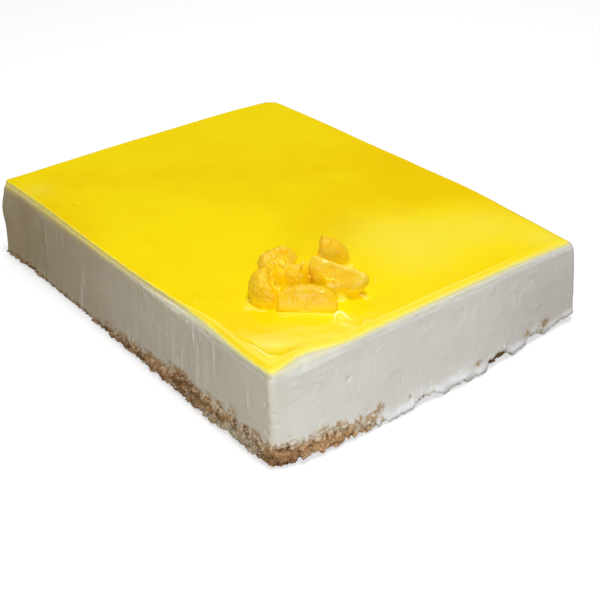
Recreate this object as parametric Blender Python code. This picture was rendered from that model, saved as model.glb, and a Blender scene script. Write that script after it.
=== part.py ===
"""Lemon mousse slab: a biscuit crumb base, white mousse, a lemon jelly sheet and mandarin segments.

Metres, +Z up. The origin is under the middle of the slab, on the surface that it stands on.
+X runs along the short side and +Y along the long side; the front is the -Y side.
"""
import math
import random

import bmesh
import bpy
from mathutils import Matrix, Vector, noise

MM = 0.001

# The slab as it was cut
SHORT_SIDE = 240 * MM
LONG_SIDE = 320 * MM
HEIGHT = 58.8 * MM
CUT_CENTRE = Vector((-1.02 * MM, 0.74 * MM))
STATION_PITCH = 6.3 * MM
CORNER_STEPS = 4
NEAR_LEFT_RADIUS = 4 * MM
NEAR_RIGHT_RADIUS = 4 * MM
FAR_RIGHT_RADIUS = 9 * MM
FAR_LEFT_RADIUS = 2.5 * MM

# How the sides lean, bow and slump; a swell is its place along the side, half length and depth
SIDE_LEAN = 3.6 * MM
FRONT_FOOT_SPREAD = 8.0 * MM
FRONT_FOOT_LEFT = (-123 * MM, -98 * MM)
FRONT_FOOT_RIGHT = (20 * MM, 112 * MM)
BACK_BOW = 5.0 * MM
BACK_PUSH = 1.0 * MM
RIGHT_BOW = 2.5 * MM
BACK_SWELL = (85 * MM, 45 * MM, 2.9 * MM)
RIGHT_SWELL = (-90 * MM, 42 * MM, 2.4 * MM)
HAND_WAVE = 0.7 * MM
HAND_WAVE_LENGTH = 34 * MM
LEFT_LUMP_CENTRE = Vector((-122 * MM, 160 * MM, 37 * MM))
LEFT_LUMP_PUSH = 1.9 * MM
LEFT_LUMP_RADIUS = 12 * MM
FAR_CORNER = Vector((-122 * MM, 162 * MM))
FAR_CORNER_PUSH = 1.6 * MM
FAR_CORNER_RADIUS = 18 * MM
DROOP_DEPTH = 0.9 * MM
DROOP_RADIUS = 26 * MM

# Layers
CONTACT_GAP = 0.3 * MM
CRUMB_TOP = 13.7 * MM
CRUMB_RING_HEIGHTS = (0.0, 1.6 * MM, 6.5 * MM, 11.0 * MM, CRUMB_TOP)
CRUMB_EDGE_INSET = 0.6 * MM
CRUMB_OPEN_INSET = 0.3 * MM
CRUMB_ROUGHNESS = 0.75 * MM
MOUSSE_TOP = 56.3 * MM
MOUSSE_RING_HEIGHTS = (24 * MM, 40 * MM)
SHELF_HEIGHT = CRUMB_TOP + CONTACT_GAP
HEM_THICKNESS = 2.1 * MM
HEM_MIN_HEIGHT = 0.8 * MM
HEM_ROUND = 1.8 * MM
HEM_RAGGEDNESS = 0.35 * MM
RIM_ROUND = 1.1 * MM
RIM_SOFTENING = 0.6
TOP_RING_INSET = 30 * MM
JELLY_UNDERCUT = 0.6 * MM
JELLY_EDGE_DROP = 1.1 * MM

# Where the mousse hangs down over the crumb: place along the side, height of its ragged lower hem
FRONT_HEM = (
    (-82 * MM, 14.2 * MM), (-74 * MM, 1.2 * MM), (-42 * MM, 0.8 * MM), (-28 * MM, 1.2 * MM),
    (-21 * MM, 5.0 * MM), (-10 * MM, 5.0 * MM), (-3 * MM, 0.8 * MM), (12 * MM, 3.2 * MM),
    (20 * MM, 0.8 * MM), (32 * MM, 0.8 * MM), (37 * MM, 7.5 * MM), (50 * MM, 7.0 * MM),
    (57 * MM, 0.8 * MM), (69 * MM, 1.5 * MM), (76 * MM, 6.5 * MM), (86 * MM, 5.5 * MM),
    (93 * MM, 1.2 * MM), (102 * MM, 2.5 * MM), (112 * MM, 5.0 * MM), (122 * MM, 4.0 * MM),
)
LEFT_HEM = (
    (-74 * MM, 14.2 * MM), (-66 * MM, 12.5 * MM), (-51 * MM, 9.0 * MM), (-37 * MM, 7.5 * MM),
    (-14 * MM, 5.9 * MM), (6 * MM, 4.6 * MM), (24 * MM, 2.0 * MM), (60 * MM, 1.2 * MM),
    (120 * MM, 0.9 * MM), (162 * MM, 1.6 * MM),
)
UNSEEN_HEM_MEAN = 3.6 * MM
UNSEEN_HEM_SWING = 5.0 * MM
UNSEEN_HEM_LENGTH = 21 * MM

# Where the jelly draws back from the cut edge: side, place along it, half length, depth
JELLY_EDGE_INSET = 0.5 * MM
JELLY_RETREATS = (
    ("front", -94 * MM, 17 * MM, 5.5 * MM),
    ("front", 25 * MM, 60 * MM, 1.6 * MM),
    ("left", -84 * MM, 40 * MM, 2.8 * MM),
)

COLOURS = {
    "crumb_base": (0.42, 0.25, 0.11),
    "lemon_mousse": (0.86, 0.84, 0.78),
    "lemon_jelly": (0.93, 0.72, 0.02),
    "mandarin": (0.90, 0.48, 0.03),
}


def smoothstep(low, high, value):
    """Return 0 below low, 1 above high, and a smooth rise between them."""
    amount = min(max((value - low) / (high - low), 0.0), 1.0)
    return amount * amount * (3 - 2 * amount)


def bell(distance, radius):
    """Return a soft bump: 1 at no distance, and close to 0 from twice the radius."""
    return math.exp(-((distance / radius) ** 2))


def read_outline(points, place):
    """Read a height from an outline of (place, height) points, held level past its ends."""
    if place <= points[0][0]:
        return points[0][1]
    for (start, low), (end, high) in zip(points, points[1:]):
        if place <= end:
            return low + (high - low) * smoothstep(start, end, place)
    return points[-1][1]


class Station:
    """One place on the slab's cut outline, which every layer's rings share."""

    def __init__(self, u, v, side, along):
        self.u = u
        self.v = v
        self.side = side
        self.along = along


def corner_stations(centre_u, centre_v, radius, start_angle, sides):
    """Return the stations round one corner, a quarter turn from start_angle."""
    stations = []
    for step in range(CORNER_STEPS + 1):
        angle = start_angle + math.pi / 2 * step / CORNER_STEPS
        u = centre_u + radius * math.cos(angle)
        v = centre_v + radius * math.sin(angle)
        side = sides[0] if step <= CORNER_STEPS / 2 else sides[1]
        stations.append(Station(u, v, side, u if side in ("front", "back") else v))
    return stations


def straight_stations(start, end, side):
    """Return evenly spaced stations between two corners, without their ends."""
    length = (Vector(end) - Vector(start)).length
    count = round(length / STATION_PITCH)
    stations = []
    for step in range(1, count):
        u, v = Vector(start).lerp(Vector(end), step / count)
        stations.append(Station(u, v, side, u if side in ("front", "back") else v))
    return stations


def outline_stations():
    """Return the stations round the slab, anticlockwise from the near left corner."""
    half_x, half_y = SHORT_SIDE / 2, LONG_SIDE / 2
    corners = (
        (-half_x, -half_y, NEAR_LEFT_RADIUS, math.pi, ("left", "front")),
        (half_x, -half_y, NEAR_RIGHT_RADIUS, 1.5 * math.pi, ("front", "right")),
        (half_x, half_y, FAR_RIGHT_RADIUS, 0.0, ("right", "back")),
        (-half_x, half_y, FAR_LEFT_RADIUS, 0.5 * math.pi, ("back", "left")),
    )
    arcs = []
    for corner_x, corner_y, radius, angle, sides in corners:
        centre_x = corner_x - math.copysign(radius, corner_x)
        centre_y = corner_y - math.copysign(radius, corner_y)
        arcs.append(corner_stations(centre_x, centre_y, radius, angle, sides))
    stations = []
    for index, arc in enumerate(arcs):
        following = arcs[(index + 1) % len(arcs)]
        side = corners[index][4][1]
        stations += arc
        stations += straight_stations((arc[-1].u, arc[-1].v), (following[0].u, following[0].v), side)
    return stations


STATIONS = outline_stations()


def swell(shape, along):
    """Return how far a swell pushes a side out at a place along it."""
    place, half_length, depth = shape
    return depth * bell(along - place, half_length)


def side_reach(side, along, z):
    """Return how far a side stands from the slab's middle, at a place along it and a height."""
    low = 1 - z / HEIGHT
    reach = (LONG_SIDE if side in ("front", "back") else SHORT_SIDE) / 2 + SIDE_LEAN * low
    if side == "front":
        spread = smoothstep(*FRONT_FOOT_LEFT, along) * (1 - smoothstep(*FRONT_FOOT_RIGHT, along))
        reach += FRONT_FOOT_SPREAD * spread * max(low, 0.0) ** 1.2
    elif side == "back":
        reach += BACK_PUSH + BACK_BOW * (1 - (2 * along / SHORT_SIDE) ** 2) + swell(BACK_SWELL, along)
    elif side == "right":
        reach += RIGHT_BOW * (1 - (2 * along / LONG_SIDE) ** 2) + swell(RIGHT_SWELL, along)
    return reach


def cut_point(station, z, inset=0.0):
    """Return the point of the slab's side at a station and height, moved in by an inset."""
    half_x, half_y = SHORT_SIDE / 2, LONG_SIDE / 2
    reach_x = side_reach("left" if station.u < 0 else "right", station.v, z)
    reach_y = side_reach("front" if station.v < 0 else "back", station.u, z)
    x = station.u * reach_x / half_x
    y = station.v * reach_y / half_y
    wave = noise.noise(Vector((station.u, station.v, z * 1.4)) / HAND_WAVE_LENGTH)
    lump = LEFT_LUMP_PUSH * bell((Vector((x, y, z)) - LEFT_LUMP_CENTRE).length, LEFT_LUMP_RADIUS)
    lump += FAR_CORNER_PUSH * bell((Vector((x, y)) - FAR_CORNER).length, FAR_CORNER_RADIUS)
    outward = HAND_WAVE * wave + lump - inset
    x += outward * station.u / half_x
    y += outward * station.v / half_y
    return Vector((x + CUT_CENTRE.x, y + CUT_CENTRE.y, z))


def droop(point):
    """Return how far the top has sunk at a point: only the near right corner sags."""
    corner = Vector((SHORT_SIDE / 2 + CUT_CENTRE.x, -LONG_SIDE / 2 + CUT_CENTRE.y))
    return DROOP_DEPTH * bell((Vector((point.x, point.y)) - corner).length, DROOP_RADIUS)


def top_point(station, z, inset):
    """Return a point of the top, scaled in from the cut edge and lowered where the top droops."""
    edge = cut_point(station, z)
    centre = Vector((CUT_CENTRE.x, CUT_CENTRE.y, z))
    point = edge - centre
    point.x *= 1 - 2 * inset / SHORT_SIDE
    point.y *= 1 - 2 * inset / LONG_SIDE
    point += centre
    point.z -= droop(point)
    return point


def hem_height(station):
    """Return the height of the mousse's lower hem at a station."""
    if station.side == "front":
        height = read_outline(FRONT_HEM, station.along)
    elif station.side == "left":
        height = read_outline(LEFT_HEM, station.along)
    else:
        swing = noise.noise(Vector((station.u, station.v, 0)) / UNSEEN_HEM_LENGTH)
        height = UNSEEN_HEM_MEAN + UNSEEN_HEM_SWING * swing
    return max(height, HEM_MIN_HEIGHT)


def hem_cover():
    """Say, for each station, whether the hem hangs over the crumb there or next to it."""
    hangs = [hem_height(station) < SHELF_HEIGHT for station in STATIONS]
    following = hangs[1:] + hangs[:1]
    previous = hangs[-1:] + hangs[:-1]
    return [any(three) for three in zip(previous, hangs, following)]


def jelly_inset(station):
    """Return how far the jelly's edge lies inside the cut edge at a station."""
    inset = JELLY_EDGE_INSET
    for side, place, half_length, depth in JELLY_RETREATS:
        if station.side == side:
            inset += depth * bell(station.along - place, half_length)
    return inset


def loft(name, rings, colour):
    """Join rings of points, the first and last closed by a flat cap, into one closed object."""
    model = bmesh.new()
    rows = [[model.verts.new(point) for point in ring] for ring in rings]
    count = len(rows[0])
    for lower, upper in zip(rows, rows[1:]):
        for index in range(count):
            following = (index + 1) % count
            model.faces.new((lower[index], lower[following], upper[following], upper[index]))
    model.faces.new(list(reversed(rows[0])))
    model.faces.new(rows[-1])
    bmesh.ops.recalc_face_normals(model, faces=model.faces)
    return finish_object(name, model, colour)


def finish_object(name, model, colour):
    """Turn a bmesh into an object of the collection, with its own plain material."""
    mesh = bpy.data.meshes.new(name)
    model.to_mesh(mesh)
    model.free()
    mesh.shade_smooth()
    mesh.set_sharp_from_angle(angle=math.radians(38))
    material = bpy.data.materials.new(name)
    material.use_nodes = True
    shader = material.node_tree.nodes["Principled BSDF"]
    shader.inputs["Base Color"].default_value = (*colour, 1.0)
    shader.inputs["Roughness"].default_value = 0.5
    shader.inputs["Metallic"].default_value = 0.0
    mesh.materials.append(material)
    part = bpy.data.objects.new(name, mesh)
    COLLECTION.objects.link(part)
    return part


def build_crumb_base():
    """Build the pressed crumb base: flat top and bottom, with a craggy side."""
    draw = random.Random(11)
    covered = hem_cover()
    under_hem = HEM_THICKNESS + 2 * CONTACT_GAP + CRUMB_ROUGHNESS
    rings = []
    for height in CRUMB_RING_HEIGHTS:
        ring = []
        for station, hidden in zip(STATIONS, covered):
            inset = under_hem if hidden else CRUMB_OPEN_INSET
            if height in (0.0, CRUMB_TOP):
                inset += CRUMB_EDGE_INSET
            inset += CRUMB_ROUGHNESS * draw.uniform(-1, 1)
            ring.append(cut_point(station, height, inset))
        rings.append(ring)
    return loft("crumb_base", rings, COLOURS["crumb_base"])


def hem_rings():
    """Return the mousse's lowest rings: its shelf on the crumb, then the hem's inner and outer edges."""
    draw = random.Random(23)
    shelf, inner_edge, outer_edge, above = [], [], [], []
    for station in STATIONS:
        hem = min(hem_height(station), SHELF_HEIGHT + CONTACT_GAP)
        ragged = HEM_RAGGEDNESS * draw.uniform(-1, 1)
        shelf.append(cut_point(station, SHELF_HEIGHT, HEM_THICKNESS + CONTACT_GAP))
        inner_edge.append(cut_point(station, min(hem + CONTACT_GAP, SHELF_HEIGHT), HEM_THICKNESS))
        outer_edge.append(cut_point(station, hem, HEM_RAGGEDNESS + ragged))
        above.append(cut_point(station, hem + HEM_ROUND))
    return [shelf, inner_edge, outer_edge, above]


def rim_round(station):
    """Return how far the mousse's rim is rounded over: more where the jelly draws back from it."""
    return RIM_ROUND + RIM_SOFTENING * (jelly_inset(station) - JELLY_EDGE_INSET)


def rim_ring(share_down, share_in):
    """Return a ring of the mousse's rim, down and in by shares of the rim's rounding."""
    ring = []
    for station in STATIONS:
        size = rim_round(station)
        point = cut_point(station, MOUSSE_TOP - share_down * size, share_in * size)
        point.z -= droop(point)
        ring.append(point)
    return ring


def build_lemon_mousse():
    """Build the mousse: it sits on the crumb, hangs down over it and has a softly rounded rim."""
    rings = hem_rings()
    for height in MOUSSE_RING_HEIGHTS:
        rings.append([cut_point(station, height) for station in STATIONS])
    rings.append(rim_ring(1.0, 0.0))
    rings.append(rim_ring(0.3, 0.35))
    rings.append([top_point(station, MOUSSE_TOP, rim_round(station)) for station in STATIONS])
    rings.append([top_point(station, MOUSSE_TOP, TOP_RING_INSET) for station in STATIONS])
    return loft("lemon_mousse", rings, COLOURS["lemon_mousse"])


def build_lemon_jelly():
    """Build the jelly sheet: it follows the mousse's top and thins out towards its edge."""
    under = MOUSSE_TOP + CONTACT_GAP
    rings = [[top_point(station, under, TOP_RING_INSET) for station in STATIONS]]
    edge_rings = (
        (JELLY_UNDERCUT, under),
        (0.0, under + JELLY_UNDERCUT / 2),
        (0.2 * MM, HEIGHT - JELLY_EDGE_DROP),
        (2.6 * MM, HEIGHT - 0.35 * JELLY_EDGE_DROP),
        (9.0 * MM, HEIGHT - 0.05 * JELLY_EDGE_DROP),
    )
    for inset, height in edge_rings:
        rings.append([top_point(station, height, inset + jelly_inset(station)) for station in STATIONS])
    rings.append([top_point(station, HEIGHT, TOP_RING_INSET) for station in STATIONS])
    return loft("lemon_jelly", rings, COLOURS["lemon_jelly"])


class Segment:
    """One mandarin segment: its size, its place on the jelly, how it is turned and where it is broken off."""

    def __init__(self, length, width, depth, place, lift, turn, bluntness=2.7, broken_at=-1.0):
        self.length = length * MM
        self.width = width * MM
        self.depth = depth * MM
        self.place = Vector((place[0] * MM, place[1] * MM)) + CUT_CENTRE
        self.lift = lift * MM
        self.turn = turn
        self.bluntness = bluntness
        self.broken_at = broken_at


# Turn is (roll about the segment's own length, pitch, heading) in degrees; roll 0 has its back up
SEGMENTS = (
    Segment(32, 19, 16, (-74.6, -91.0), 7.3, (-68, 3, 52)),
    Segment(35, 14, 17, (-62.0, -117.2), 6.0, (-62, 0, -41)),
    Segment(37, 17, 17, (-37.1, -114.5), 9.6, (174, 14, -62)),
    Segment(34, 15, 20, (-21.3, -81.3), 7.0, (-14, 15, -36), broken_at=-0.16),
    Segment(24, 13, 17, (-48.5, -91.1), 6.2, (72, 2, -38), bluntness=2.9),
    Segment(28, 15, 15, (-50.2, -69.6), 6.2, (-80, 0, 10)),
)
SEGMENT_BEND = 0.24
SEGMENT_INNER_WIDTH = 0.30
SEGMENT_SIDES = 14
SEGMENT_RINGS = 12


def shape_segment(model, segment):
    """Turn a unit sphere into a segment: blunt tips, a thin inner edge, a round bent back."""
    for vertex in model.verts:
        along, across, deep = vertex.co.z, vertex.co.y, vertex.co.x
        roundness = math.sqrt(max(1 - along * along, 1e-9))
        blunt = (1 - min(abs(along), 1.0) ** segment.bluntness) ** (1 / segment.bluntness)
        across *= blunt / roundness
        deep *= blunt / roundness
        along = max(along, segment.broken_at)
        wedge = SEGMENT_INNER_WIDTH + (1 - SEGMENT_INNER_WIDTH) * smoothstep(-1.0, 0.35, deep)
        vertex.co = Vector((
            along * segment.length / 2,
            across * wedge * segment.width / 2,
            deep * segment.depth / 2 - SEGMENT_BEND * segment.depth * along * along,
        ))


def build_segment(name, segment):
    """Build one mandarin segment resting on the jelly, flattened where it touches it."""
    model = bmesh.new()
    bmesh.ops.create_uvsphere(model, u_segments=SEGMENT_SIDES, v_segments=SEGMENT_RINGS, radius=1.0)
    shape_segment(model, segment)
    roll, pitch, heading = (math.radians(angle) for angle in segment.turn)
    turn = Matrix.Rotation(heading, 4, "Z") @ Matrix.Rotation(pitch, 4, "Y") @ Matrix.Rotation(roll, 4, "X")
    place = Matrix.Translation((segment.place.x, segment.place.y, HEIGHT + segment.lift))
    bmesh.ops.transform(model, matrix=place @ turn, verts=model.verts)
    floor = HEIGHT + CONTACT_GAP
    for vertex in model.verts:
        if vertex.co.z < floor:
            vertex.co.z = floor
    bmesh.ops.recalc_face_normals(model, faces=model.faces)
    return finish_object(name, model, COLOURS["mandarin"])


def clear_scene():
    """Remove every object, so that the file starts empty."""
    for item in list(bpy.data.objects):
        bpy.data.objects.remove(item, do_unlink=True)


clear_scene()
COLLECTION = bpy.data.collections.new("lemon_mousse_slab")
bpy.context.scene.collection.children.link(COLLECTION)
build_crumb_base()
build_lemon_mousse()
build_lemon_jelly()
for number, one_segment in enumerate(SEGMENTS, start=1):
    build_segment(f"mandarin_segment_{number}", one_segment)
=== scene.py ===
"""Looks of a lemon mousse slab: biscuit crumb base, white mousse, glossy lemon jelly and mandarin segments.

Metres, +Z up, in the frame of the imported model: +X along the short side, +Y along the long side, front at -Y.
Every layer repeats the cut form of the solids at a finer pitch, and adds the relief that the real cake shows.
"""

import logging
import math
import random
from dataclasses import dataclass, field
from enum import Enum
from functools import cache

import bmesh
import bpy
import numpy as np
from mathutils import Matrix, Vector, noise
from mathutils.bvhtree import BVHTree

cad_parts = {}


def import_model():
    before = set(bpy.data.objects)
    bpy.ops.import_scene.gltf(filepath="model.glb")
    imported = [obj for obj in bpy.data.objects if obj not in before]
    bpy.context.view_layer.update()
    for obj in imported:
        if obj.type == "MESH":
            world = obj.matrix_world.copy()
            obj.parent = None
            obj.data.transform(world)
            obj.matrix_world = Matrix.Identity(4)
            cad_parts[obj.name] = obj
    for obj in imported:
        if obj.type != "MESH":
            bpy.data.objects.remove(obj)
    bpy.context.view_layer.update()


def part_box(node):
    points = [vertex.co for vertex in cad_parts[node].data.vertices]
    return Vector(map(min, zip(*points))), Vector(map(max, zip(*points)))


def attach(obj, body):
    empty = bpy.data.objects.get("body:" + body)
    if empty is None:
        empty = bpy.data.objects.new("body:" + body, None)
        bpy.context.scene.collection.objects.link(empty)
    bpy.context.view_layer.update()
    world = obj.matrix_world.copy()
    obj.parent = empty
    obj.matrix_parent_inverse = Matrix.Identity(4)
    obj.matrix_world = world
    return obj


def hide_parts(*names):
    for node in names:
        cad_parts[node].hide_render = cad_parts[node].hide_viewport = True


LOG = logging.getLogger("lemon_mousse_slab")
MM = 0.001
SEED_STEP = 7.31
NODE_SPACING = 190
MARK_REACH = 3
BLACK = (0.0, 0.0, 0.0)
WHITE = (1.0, 1.0, 1.0)
SLAB_MIDDLE = (0.0, 0.0, 0.03)
FLUSH_HEMS = (9.5 * MM, 12 * MM)
FLUSH_FRONT_END = (-50 * MM, -44 * MM)
DOWN = Vector((0, 0, -1))

Floats = np.ndarray
Pair = tuple[float, float]
Triple = tuple[float, float, float]
Profile = tuple[Pair, ...]
Spots = tuple[tuple[float, float, float, float], ...]
Piece = bpy.types.Object
Node = bpy.types.Node
Socket = bpy.types.NodeSocket
Verts = list[bmesh.types.BMVert]


class Side(Enum):
    """The four cut sides of the slab."""

    FRONT = "front"
    RIGHT = "right"
    BACK = "back"
    LEFT = "left"


class Slot(Enum):
    """The record's material slots."""

    CRUMB = "crumb"
    MOUSSE = "mousse"
    JELLY = "jelly"
    MANDARIN = "mandarin"


def smoothstep(low: Floats | float, high: Floats | float, value: Floats | float) -> Floats:
    """Rise smoothly from 0 at low to 1 at high."""
    amount = np.clip((value - low) / (high - low), 0.0, 1.0)
    return amount * amount * (3 - 2 * amount)


def bell(distance: Floats, radius: float) -> Floats:
    """Return a soft bump, 1 at no distance and close to 0 from twice the radius."""
    return np.exp(-((distance / radius) ** 2))


def points_at(*parts: Floats | float) -> Floats:
    """Join coordinates into points of shape (..., 3)."""
    return np.stack(np.broadcast_arrays(*parts), axis=-1)


def wander(points: Floats, length: float, seed: float = 0.0) -> Floats:
    """Read smooth noise between about -1 and 1 at many points.

    Args:
        points: Array of shape (..., 3), in metres.
        length: Size of the noise's waves, in metres.
        seed: Shifts the noise, so that two uses differ.

    Returns:
        The noise, of shape (...).
    """
    places = (points.reshape(-1, 3) / length + seed * SEED_STEP).tolist()
    values = np.array([noise.noise(place) for place in places])
    return values.reshape(points.shape[:-1])


def billow(points: Floats, length: float, seed: float) -> Floats:
    """Read noise of rounded lumps with sharp creases between them, from 0 in a crease to about 1."""
    return np.minimum(2.4 * np.abs(wander(points, length, seed)), 1.0)


def read_profile(points: Profile, places: Floats) -> Floats:
    """Read heights from a profile, held level past its ends.

    Args:
        points: The profile's places and heights, in millimetres and in order of place.
        places: Where to read it, in metres.

    Returns:
        The heights there, in metres.
    """
    heights = np.full(places.shape, points[0][1] * MM)
    for (start, low), (end, high) in zip(points, points[1:]):
        drawn = low + (high - low) * smoothstep(start * MM, end * MM, places)
        heights = np.where(places > start * MM, drawn * MM, heights)
    return heights


def search_tree(piece: Piece) -> BVHTree:
    """Return a piece's surface in a form that can be searched."""
    mesh = piece.data
    return BVHTree.FromPolygons([v.co for v in mesh.vertices], [p.vertices for p in mesh.polygons])


@dataclass(frozen=True)
class Mark:
    """A small local feature on a side: a pit, lump or smear."""

    side: Side
    along: float
    height: float
    half_length: float
    half_height: float
    push: float


def marks(side: Side, *rows: tuple[float, ...]) -> tuple[Mark, ...]:
    """List marks of one side, from rows of millimetres: place, height, half length, half height and push."""
    return tuple(Mark(side, *(value * MM for value in row)) for row in rows)


@dataclass
class Outline:
    """Stations round the slab's cut outline, anticlockwise from the near left corner."""

    u: Floats
    v: Floats
    sides: list[Side]
    along: Floats = field(init=False)

    def __post_init__(self) -> None:
        """Note each station's place along its own side."""
        self.along = np.where(self.on(Side.FRONT) | self.on(Side.BACK), self.u, self.v)

    def on(self, side: Side) -> Floats:
        """Return a mask of the stations that lie on a side."""
        return np.array([one is side for one in self.sides])

    def spread(self, some: tuple[Mark, ...], heights: Floats) -> Floats:
        """Sum how far marks push out the points near them.

        Args:
            some: The marks.
            heights: Height of each point, of shape (rings, stations).

        Returns:
            The push at each point, of the same shape.
        """
        total = np.zeros(heights.shape)
        for mark in some:
            near = self.on(mark.side) & (np.abs(self.along - mark.along) < MARK_REACH * mark.half_length)
            across = ((self.along[near] - mark.along) / mark.half_length) ** 2
            upward = ((heights[:, near] - mark.height) / mark.half_height) ** 2
            total[:, near] += mark.push * np.exp(-(across + upward))
        return total


@dataclass
class SlabForm:
    """The cut form that every layer follows, the same as in the solids."""

    short_side: float = 240 * MM
    long_side: float = 320 * MM
    centre: Pair = (-1.02 * MM, 0.74 * MM)
    corner_radii: tuple[float, float, float, float] = (4 * MM, 4 * MM, 9 * MM, 2.5 * MM)
    corner_pitch: float = 0.7 * MM
    lean: float = 3.6 * MM
    foot_spread: float = 8.0 * MM
    foot_left: Pair = (-123 * MM, -98 * MM)
    foot_right: Pair = (20 * MM, 112 * MM)
    foot_power: float = 1.2
    back_bow: float = 5.0 * MM
    back_push: float = 1.0 * MM
    back_swell: Triple = (85 * MM, 45 * MM, 2.9 * MM)
    right_bow: float = 2.5 * MM
    right_swell: Triple = (-90 * MM, 42 * MM, 2.4 * MM)
    hand_wave: float = 0.7 * MM
    hand_wave_length: float = 34 * MM
    hand_wave_squash: float = 1.4
    lump_centre: Triple = (-122 * MM, 160 * MM, 37 * MM)
    lump_push: float = 1.9 * MM
    lump_radius: float = 12 * MM
    far_corner: Pair = (-122 * MM, 162 * MM)
    far_corner_push: float = 1.6 * MM
    far_corner_radius: float = 18 * MM
    droop_depth: float = 0.9 * MM
    droop_radius: float = 26 * MM
    contact_gap: float = 0.3 * MM
    edge_inset: float = 0.4 * MM
    edge_blend: float = 3 * MM
    rim_across: float = 1.6 * MM
    rim_down: float = 3.4 * MM
    rim_softening: Pair = (0.6, 0.25)
    retreats: tuple[tuple[Side, float, float, float], ...] = (
        (Side.FRONT, -94 * MM, 17 * MM, 5.5 * MM),
        (Side.FRONT, 30 * MM, 85 * MM, 1.7 * MM),
        (Side.LEFT, -84 * MM, 40 * MM, 2.8 * MM),
    )
    half: Pair = field(init=False)
    height: float = field(init=False)
    mousse_top: float = field(init=False)
    crumb_top: float = field(init=False)

    def __post_init__(self) -> None:
        """Halve the sides, and take the layers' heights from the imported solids."""
        self.half = (self.short_side / 2, self.long_side / 2)
        self.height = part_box("lemon_jelly")[1].z
        self.mousse_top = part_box("lemon_mousse")[1].z
        self.crumb_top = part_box("crumb_base")[1].z

    def outline(self, pitch: float) -> Outline:
        """Lay stations round the slab.

        Args:
            pitch: Distance between stations on the straight sides.

        Returns:
            The outline, whose first station is on the near left corner.
        """
        half_x, half_y = self.half
        corners = (
            (-half_x, -half_y, math.pi, Side.LEFT, Side.FRONT),
            (half_x, -half_y, 1.5 * math.pi, Side.FRONT, Side.RIGHT),
            (half_x, half_y, 0.0, Side.RIGHT, Side.BACK),
            (-half_x, half_y, 0.5 * math.pi, Side.BACK, Side.LEFT),
        )
        arcs = []
        for (corner_x, corner_y, angle, before, after), radius in zip(corners, self.corner_radii):
            steps = max(4, round(radius * math.pi / 2 / self.corner_pitch))
            turned = [angle + math.pi / 2 * step / steps for step in range(steps + 1)]
            centre_x = corner_x - math.copysign(radius, corner_x)
            centre_y = corner_y - math.copysign(radius, corner_y)
            arc = [(centre_x + radius * math.cos(a), centre_y + radius * math.sin(a)) for a in turned]
            arcs.append((arc, [before if 2 * step <= steps else after for step in range(steps + 1)], after))
        points, sides = [], []
        for (arc, arc_sides, after), (following, _, _) in zip(arcs, arcs[1:] + arcs[:1]):
            count = round(math.dist(arc[-1], following[0]) / pitch)
            shares = [step / count for step in range(1, count)]
            ends = list(zip(arc[-1], following[0]))
            points += arc + [tuple(a + (b - a) * share for a, b in ends) for share in shares]
            sides += arc_sides + [after] * len(shares)
        u, v = np.array(points).T
        return Outline(u, v, sides)

    def cut(self, u: Floats, v: Floats, z: Floats | float, outward: Floats | float = 0.0) -> Floats:
        """Place points of the slab's side.

        Args:
            u: Nominal places across the short side.
            v: Nominal places along the long side.
            z: Heights.
            outward: How far each point stands out from the cut face, negative where it lies inside.

        Returns:
            Points of shape (..., 3).
        """
        u, v, z, outward = np.broadcast_arrays(u, v, z, outward)
        half_x, half_y = self.half
        low = 1 - z / self.height
        place, half_length, depth = self.right_swell
        bow = self.right_bow * (1 - (v / half_y) ** 2) + depth * bell(v - place, half_length)
        x = u * (half_x + self.lean * low + np.where(u < 0, 0.0, bow)) / half_x
        spread = smoothstep(*self.foot_left, u) * (1 - smoothstep(*self.foot_right, u))
        foot = self.foot_spread * spread * np.maximum(low, 0.0) ** self.foot_power
        place, half_length, depth = self.back_swell
        bow = self.back_bow * (1 - (u / half_x) ** 2) + depth * bell(u - place, half_length)
        y = v * (half_y + self.lean * low + np.where(v < 0, foot, bow + self.back_push)) / half_y
        gap = np.linalg.norm(points_at(x, y, z) - np.array(self.lump_centre), axis=-1)
        corner = np.hypot(x - self.far_corner[0], y - self.far_corner[1])
        wave = wander(points_at(u, v, z * self.hand_wave_squash), self.hand_wave_length)
        push = self.lump_push * bell(gap, self.lump_radius)
        push = push + self.far_corner_push * bell(corner, self.far_corner_radius)
        push = push + self.hand_wave * wave + outward
        return points_at(x + push * u / half_x + self.centre[0], y + push * v / half_y + self.centre[1], z)

    def droop(self, x: Floats, y: Floats) -> Floats:
        """Return how far the top has sunk at places near the right front corner."""
        corner_x, corner_y = self.half[0] + self.centre[0], self.centre[1] - self.half[1]
        return self.droop_depth * bell(np.hypot(x - corner_x, y - corner_y), self.droop_radius)

    def edges(self, u: Floats, v: Floats) -> tuple[tuple[Side, Floats, Floats, Pair], ...]:
        """Say where places lie from each of the four edges.

        Args:
            u: Nominal places across the short side.
            v: Nominal places along the long side.

        Returns:
            For each edge its side, the places' distances from it and along it, and the way inward.
        """
        half_x, half_y = self.half
        return (
            (Side.LEFT, half_x + u, v, (1.0, 0.0)), (Side.RIGHT, half_x - u, v, (-1.0, 0.0)),
            (Side.FRONT, half_y + v, u, (0.0, 1.0)), (Side.BACK, half_y - v, u, (0.0, -1.0)),
        )

    def jelly_inset(self, side: Side, along: Floats) -> Floats:
        """Read how far the jelly's edge lies inside the cut edge.

        Args:
            side: The side.
            along: Places along it.

        Returns:
            The inset at each place.
        """
        here = [retreat[1:] for retreat in self.retreats if retreat[0] is side]
        drawn = [depth * bell(along - place, half_length) for place, half_length, depth in here]
        return self.edge_inset + sum(drawn, np.zeros(along.shape))

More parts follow.
